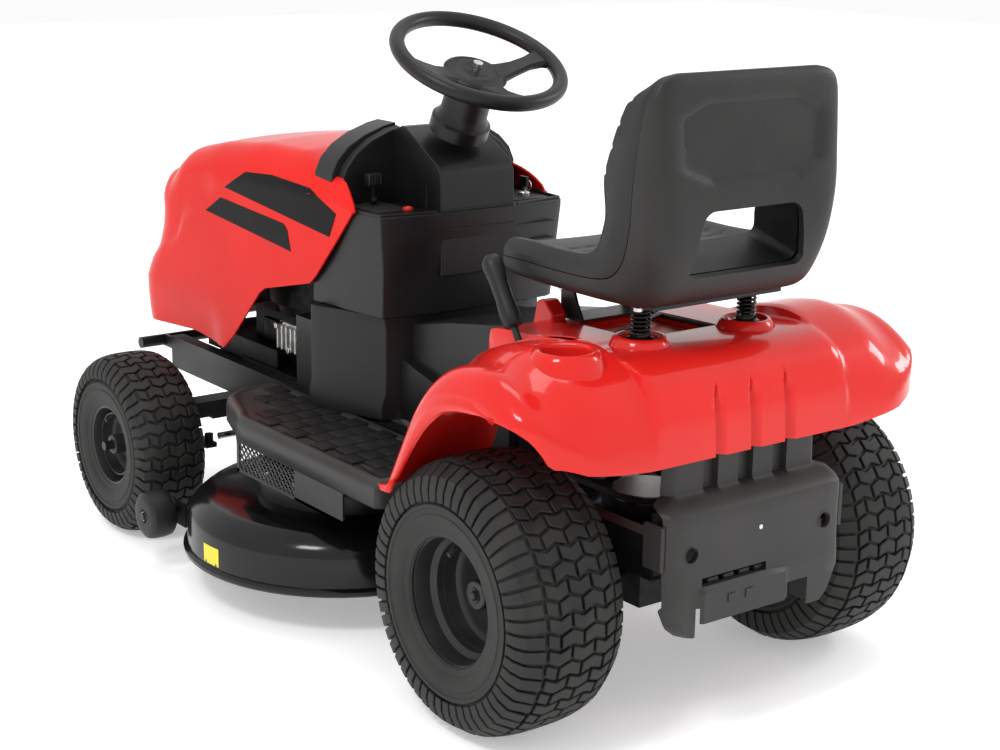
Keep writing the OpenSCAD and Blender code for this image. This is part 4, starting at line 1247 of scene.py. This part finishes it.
def outline_inset(points, d):
    """Moves a closed outline inwards by a distance, corner by corner."""
    area = sum(a[0] * b[1] - b[0] * a[1] for a, b in zip(points, points[1:] + points[:1]))
    out = []
    for p, q, r in zip(points[-1:] + points[:-1], points, points[1:] + points[:1]):
        a = Vector((q[0] - p[0], q[1] - p[1])).normalized()
        b = Vector((r[0] - q[0], r[1] - q[1])).normalized()
        n1, n2 = Vector((-a.y, a.x)), Vector((-b.y, b.x))
        n = (n1 + n2).normalized() * d / max(0.4, (1 + n1.dot(n2)) / 2) ** 0.5
        out.append((q[0] + (n.x if area > 0 else -n.x), q[1] + (n.y if area > 0 else -n.y)))
    return out


def make_footrests():
    plan = [(198, -252), (386, -252), (397, -262), (397, -700)] + arc((322, -715), 75, 0, -38, 5) \
        + arc((240, -790), 130, -38, -82, 6) + [(198, -922)]
    levels = [(0, 302), (0.3, 334), (3, 345), (8, 350), (14, 351.5), (19, 350), (22, 347)]
    for s, word in SIDES:
        bm = bmesh.new()
        loft(bm, [[(s * x, y, z) for x, y in outline_inset(plan, d)] for d, z in levels], closed=True)
        bm.faces.new([v for v in bm.verts if abs(v.co.z - 347) < 0.01][:len(plan)])
        close_skin(bm)
        finish_piece(f"footrest_panel_{word}", bm, "root", GREY_PLASTIC, [f"footrest_{word}"],
                     smooth=45, wall=3.5)


def make_foot_mats():
    """Staggered raised blocks, fewer where the footrest narrows towards the front."""
    bm = bmesh.new()
    for row in range(13):
        for col in range(4):
            x = 216 + col * 42 + (row % 2) * 14
            y = -880 + row * 47
            limit = 374 if y > -700 else 374 - (-700 - y) * 0.55
            if x + 39 < limit + 12:
                box(bm, (x, y, 347), (min(x + 39, limit), y + 44, 351.5))
    round_edges(bm, [e for e in bm.edges if min(v.co.z for v in e.verts) > 351], 1.6, 2)
    mirror_copy(bm)
    finish_piece("foot_mat_blocks", bm, "root", MAT_RUBBER, ["foot_mats"])


def guard_wires(y0, y1, z0, z1, pitch, reach):
    """Ends (y, z) of the crossing wires of a mesh panel, trimmed where the panel ends."""
    for z_start, z_end in ((z0, z1), (z1, z0)):
        for n in range(-6, 18):
            start = Vector((y0 + n * pitch, z_start))
            end = Vector((y0 + n * pitch + reach, z_end))
            if start.x < y0:
                if end.x <= y0 + 2:
                    continue
                start += (end - start) * ((y0 - start.x) / (end.x - start.x))
            if end.x > y1:
                if start.x >= y1 - 2:
                    continue
                end += (start - end) * ((y1 - end.x) / (start.x - end.x))
            yield sorted((start, end), key=lambda p: p.y)


def make_mesh_guards():
    """Wire mesh in a frame below the outer edge of each footrest."""
    for s, word in SIDES:
        bm = bmesh.new()
        for y0, y1, z0, z1 in ((-745, -736, 240, 303), (-534, -372, 240, 303), (-745, -372, 240, 246),
                               (-745, -372, 297, 303)):
            box(bm, (386, y0, z0), (390, y1, z1))
        for low, high in guard_wires(-742, -530, 243, 301, 15.5, 58):
            rod(bm, (388, *low), (388, *high), 1.7, sides=6)
        if s < 0:
            bmesh.ops.transform(bm, matrix=FLIP, verts=bm.verts)
        finish_piece(f"mesh_guard_{word}", bm, "root", BLACK_PLASTIC, [f"side_guard_{word}"])


def stadium(cx, r, z, steps=28):
    """Level outline of the deck: a half circle round each spindle and straight lines between."""
    right = [(cx + r * math.cos(a), DECK_Y + r * math.sin(a), z) for a in
             (math.pi * (i / steps - 0.5) for i in range(steps + 1))]
    return right + [(-x, 2 * DECK_Y - y, z) for x, y, z in right]


def closed_loft(bm, sections, mat=0):
    """Skins closed sections all the way round, the last back to the first."""
    loft(bm, sections + [sections[0]], closed=True, mat=mat)
    bmesh.ops.remove_doubles(bm, verts=bm.verts, dist=0.01)


def make_deck():
    bm = bmesh.new()
    profile = [(300, 80), (306, 80), (309, 84), (309, 90), (305, 94), (301, 95), (300, 150), (297, 160),
               (288, 172), (270, 188), (262, 191.5), (120, 193), (120, 189), (260, 188), (268, 184),
               (284, 170), (294, 158), (297, 150), (298, 96), (300, 90)]
    closed_loft(bm, [stadium(BLADE_X, r, z) for r, z in profile])
    piece = finish_piece("deck_pressing", bm, "deck", GLOSS_BLACK, ["deck_shell"], smooth=30)
    cut_away(piece, [cutter(box, (-560, -798, 96), (-412, -562, 260))])
    bm = bmesh.new()
    closed_loft(bm, [stadium(BLADE_X, r, z) for r, z in ((121, 189.4), (121, 192.6), (4, 192.6), (4, 189.4))])
    finish_piece("deck_top_plate", bm, "deck", GLOSS_BLACK, smooth=30)


def make_belt_guard():
    """Cover over each blade pulley, with its screws."""
    bm = bmesh.new()
    profile = [(190, 192.5), (190, 222), (188, 229), (180, 235), (168, 236), (60, 236), (60, 233), (166, 233),
               (178, 231.5), (185, 226), (187, 220), (187, 192.5)]
    closed_loft(bm, [stadium(GUARD_X, r, z) for r, z in profile])
    piece = finish_piece("belt_guard", bm, "deck", BLACK_PLASTIC, ["belt_cover"], smooth=30)
    cut_away(piece, [cutter(box, (-157, -900, 150), (157, -460, 260))])
    bm = bmesh.new()
    for s in (1, -1):
        for angle in (20, 75, 130, 250, 305, 350):
            a = math.radians(angle if s > 0 else 180 - angle)
            x, y = s * GUARD_X + 177 * math.cos(a), DECK_Y + 177 * math.sin(a)
            if abs(x) > 165:
                rod(bm, (x, y, 233), (x, y, 239), 6, sides=6)
    finish_piece("belt_guard_screws", bm, "deck", ZINC)


def make_deck_sticker():
    """Plain yellow sticker on the left flank."""
    bm = bmesh.new()
    rows = []
    for i in range(7):
        a = math.radians(8 - i * 1.6)
        rows.append([(BLADE_X + r * math.cos(a), DECK_Y + r * math.sin(a), z) for r, z in
                     ((300.8, 99), (300.8, 134), (300.2, 134), (300.2, 99))])
    loft(bm, rows, closed=True, caps=True)
    finish_piece("deck_sticker", bm, "deck", YELLOW_LABEL)


def make_deck_roller():
    bm = bmesh.new()
    barrel = [(-30, 0), (-30, 30), (-27, 40), (-22, 45), (-10, 47), (10, 47), (20, 45), (24, 40), (26, 30),
              (26, 14), (22, 12), (22, 0)]
    revolve(bm, barrel, axis=(1, 0, 0), centre=ROLLER_C, steps=56, closed=False)
    rod(bm, ROLLER_C + Vector((22, 0, 0)), ROLLER_C + Vector((27, 0, 0)), 10, sides=6, mat=1)
    finish_piece("deck_roller_wheel", bm, "deck_roller", [MAT_RUBBER, ZINC], ["deck_roller"],
                 smooth=40)


def make_chute_guard():
    """Flap over the deck's outlet, with its end walls, hinge rod and ribs."""
    bm = bmesh.new()
    guard = [(-407, 208), (-465, 195), (-500, 150), (-510, 98), (-506, 97), (-496, 148), (-462, 191),
             (-407, 202)]
    prism(bm, guard, 1, -792, -568)
    for y in (-792, -571):
        prism(bm, [(-407, 203), (-465, 193), (-498, 150), (-507, 120), (-440, 120), (-407, 160)], 1, y, y + 3)
    rod(bm, (-405, -792, 203), (-405, -568, 203), 5)
    for y in (-740, -680, -620):
        prism(bm, [(-420, 209), (-464, 200), (-503, 150), (-507, 120), (-503, 120), (-496, 150), (-462, 195),
                   (-420, 203)], 1, y - 3, y + 3)
    finish_piece("discharge_chute_guard", bm, "discharge_guard", BLACK_PLASTIC,
                 ["discharge_guard"], bevel=1.5)


# ---------------------------------------------------------------- build

FINISHES = {
    FRAME_BLACK: ["frame_rail_left", "frame_rail_right", "axle_carrier", "axle_beam", "spindle_left",
                  "spindle_right", "roller_bracket", "deck_hangers", "brake_pedal", "drive_pedal",
                  "front_bumper"],
    ALUMINIUM: ["blade_housings"],
    CAST_BLACK: ["engine_block", "transaxle", "engine_cowl"],
    DARK_STEEL: ["muffler", "blade_left", "blade_right", "drive_pulleys"],
    ZINC: ["tie_rod", "steering_shaft"],
    TANK_WHITE: ["fuel_tank"],
    BLACK_PLASTIC: ["battery"],
    BELT: ["drive_belt"],
}

make_camera()
make_studio()
make_wheels()
make_rear_body()
make_cup_and_bosses()
make_lever_slot_rim()
make_seat_well()
make_seat_hinge()
make_rear_cover()
make_rear_cover_ribs()
make_hitch()
make_engine_casting()
hood = make_hood()
make_hood_trim(hood)
make_grille()
make_headlamps()
make_seat()
make_seat_mounting()
make_seat_springs()
make_console()
make_console_details()
make_steering()
make_throttle()
make_blade_knob()
make_key()
make_height_lever()
make_footrests()
make_foot_mats()
make_mesh_guards()
make_deck()
make_belt_guard()
make_deck_sticker()
make_deck_roller()
make_chute_guard()
for finish, names in FINISHES.items():
    for part_name in names:
        carry(part_name, finish)
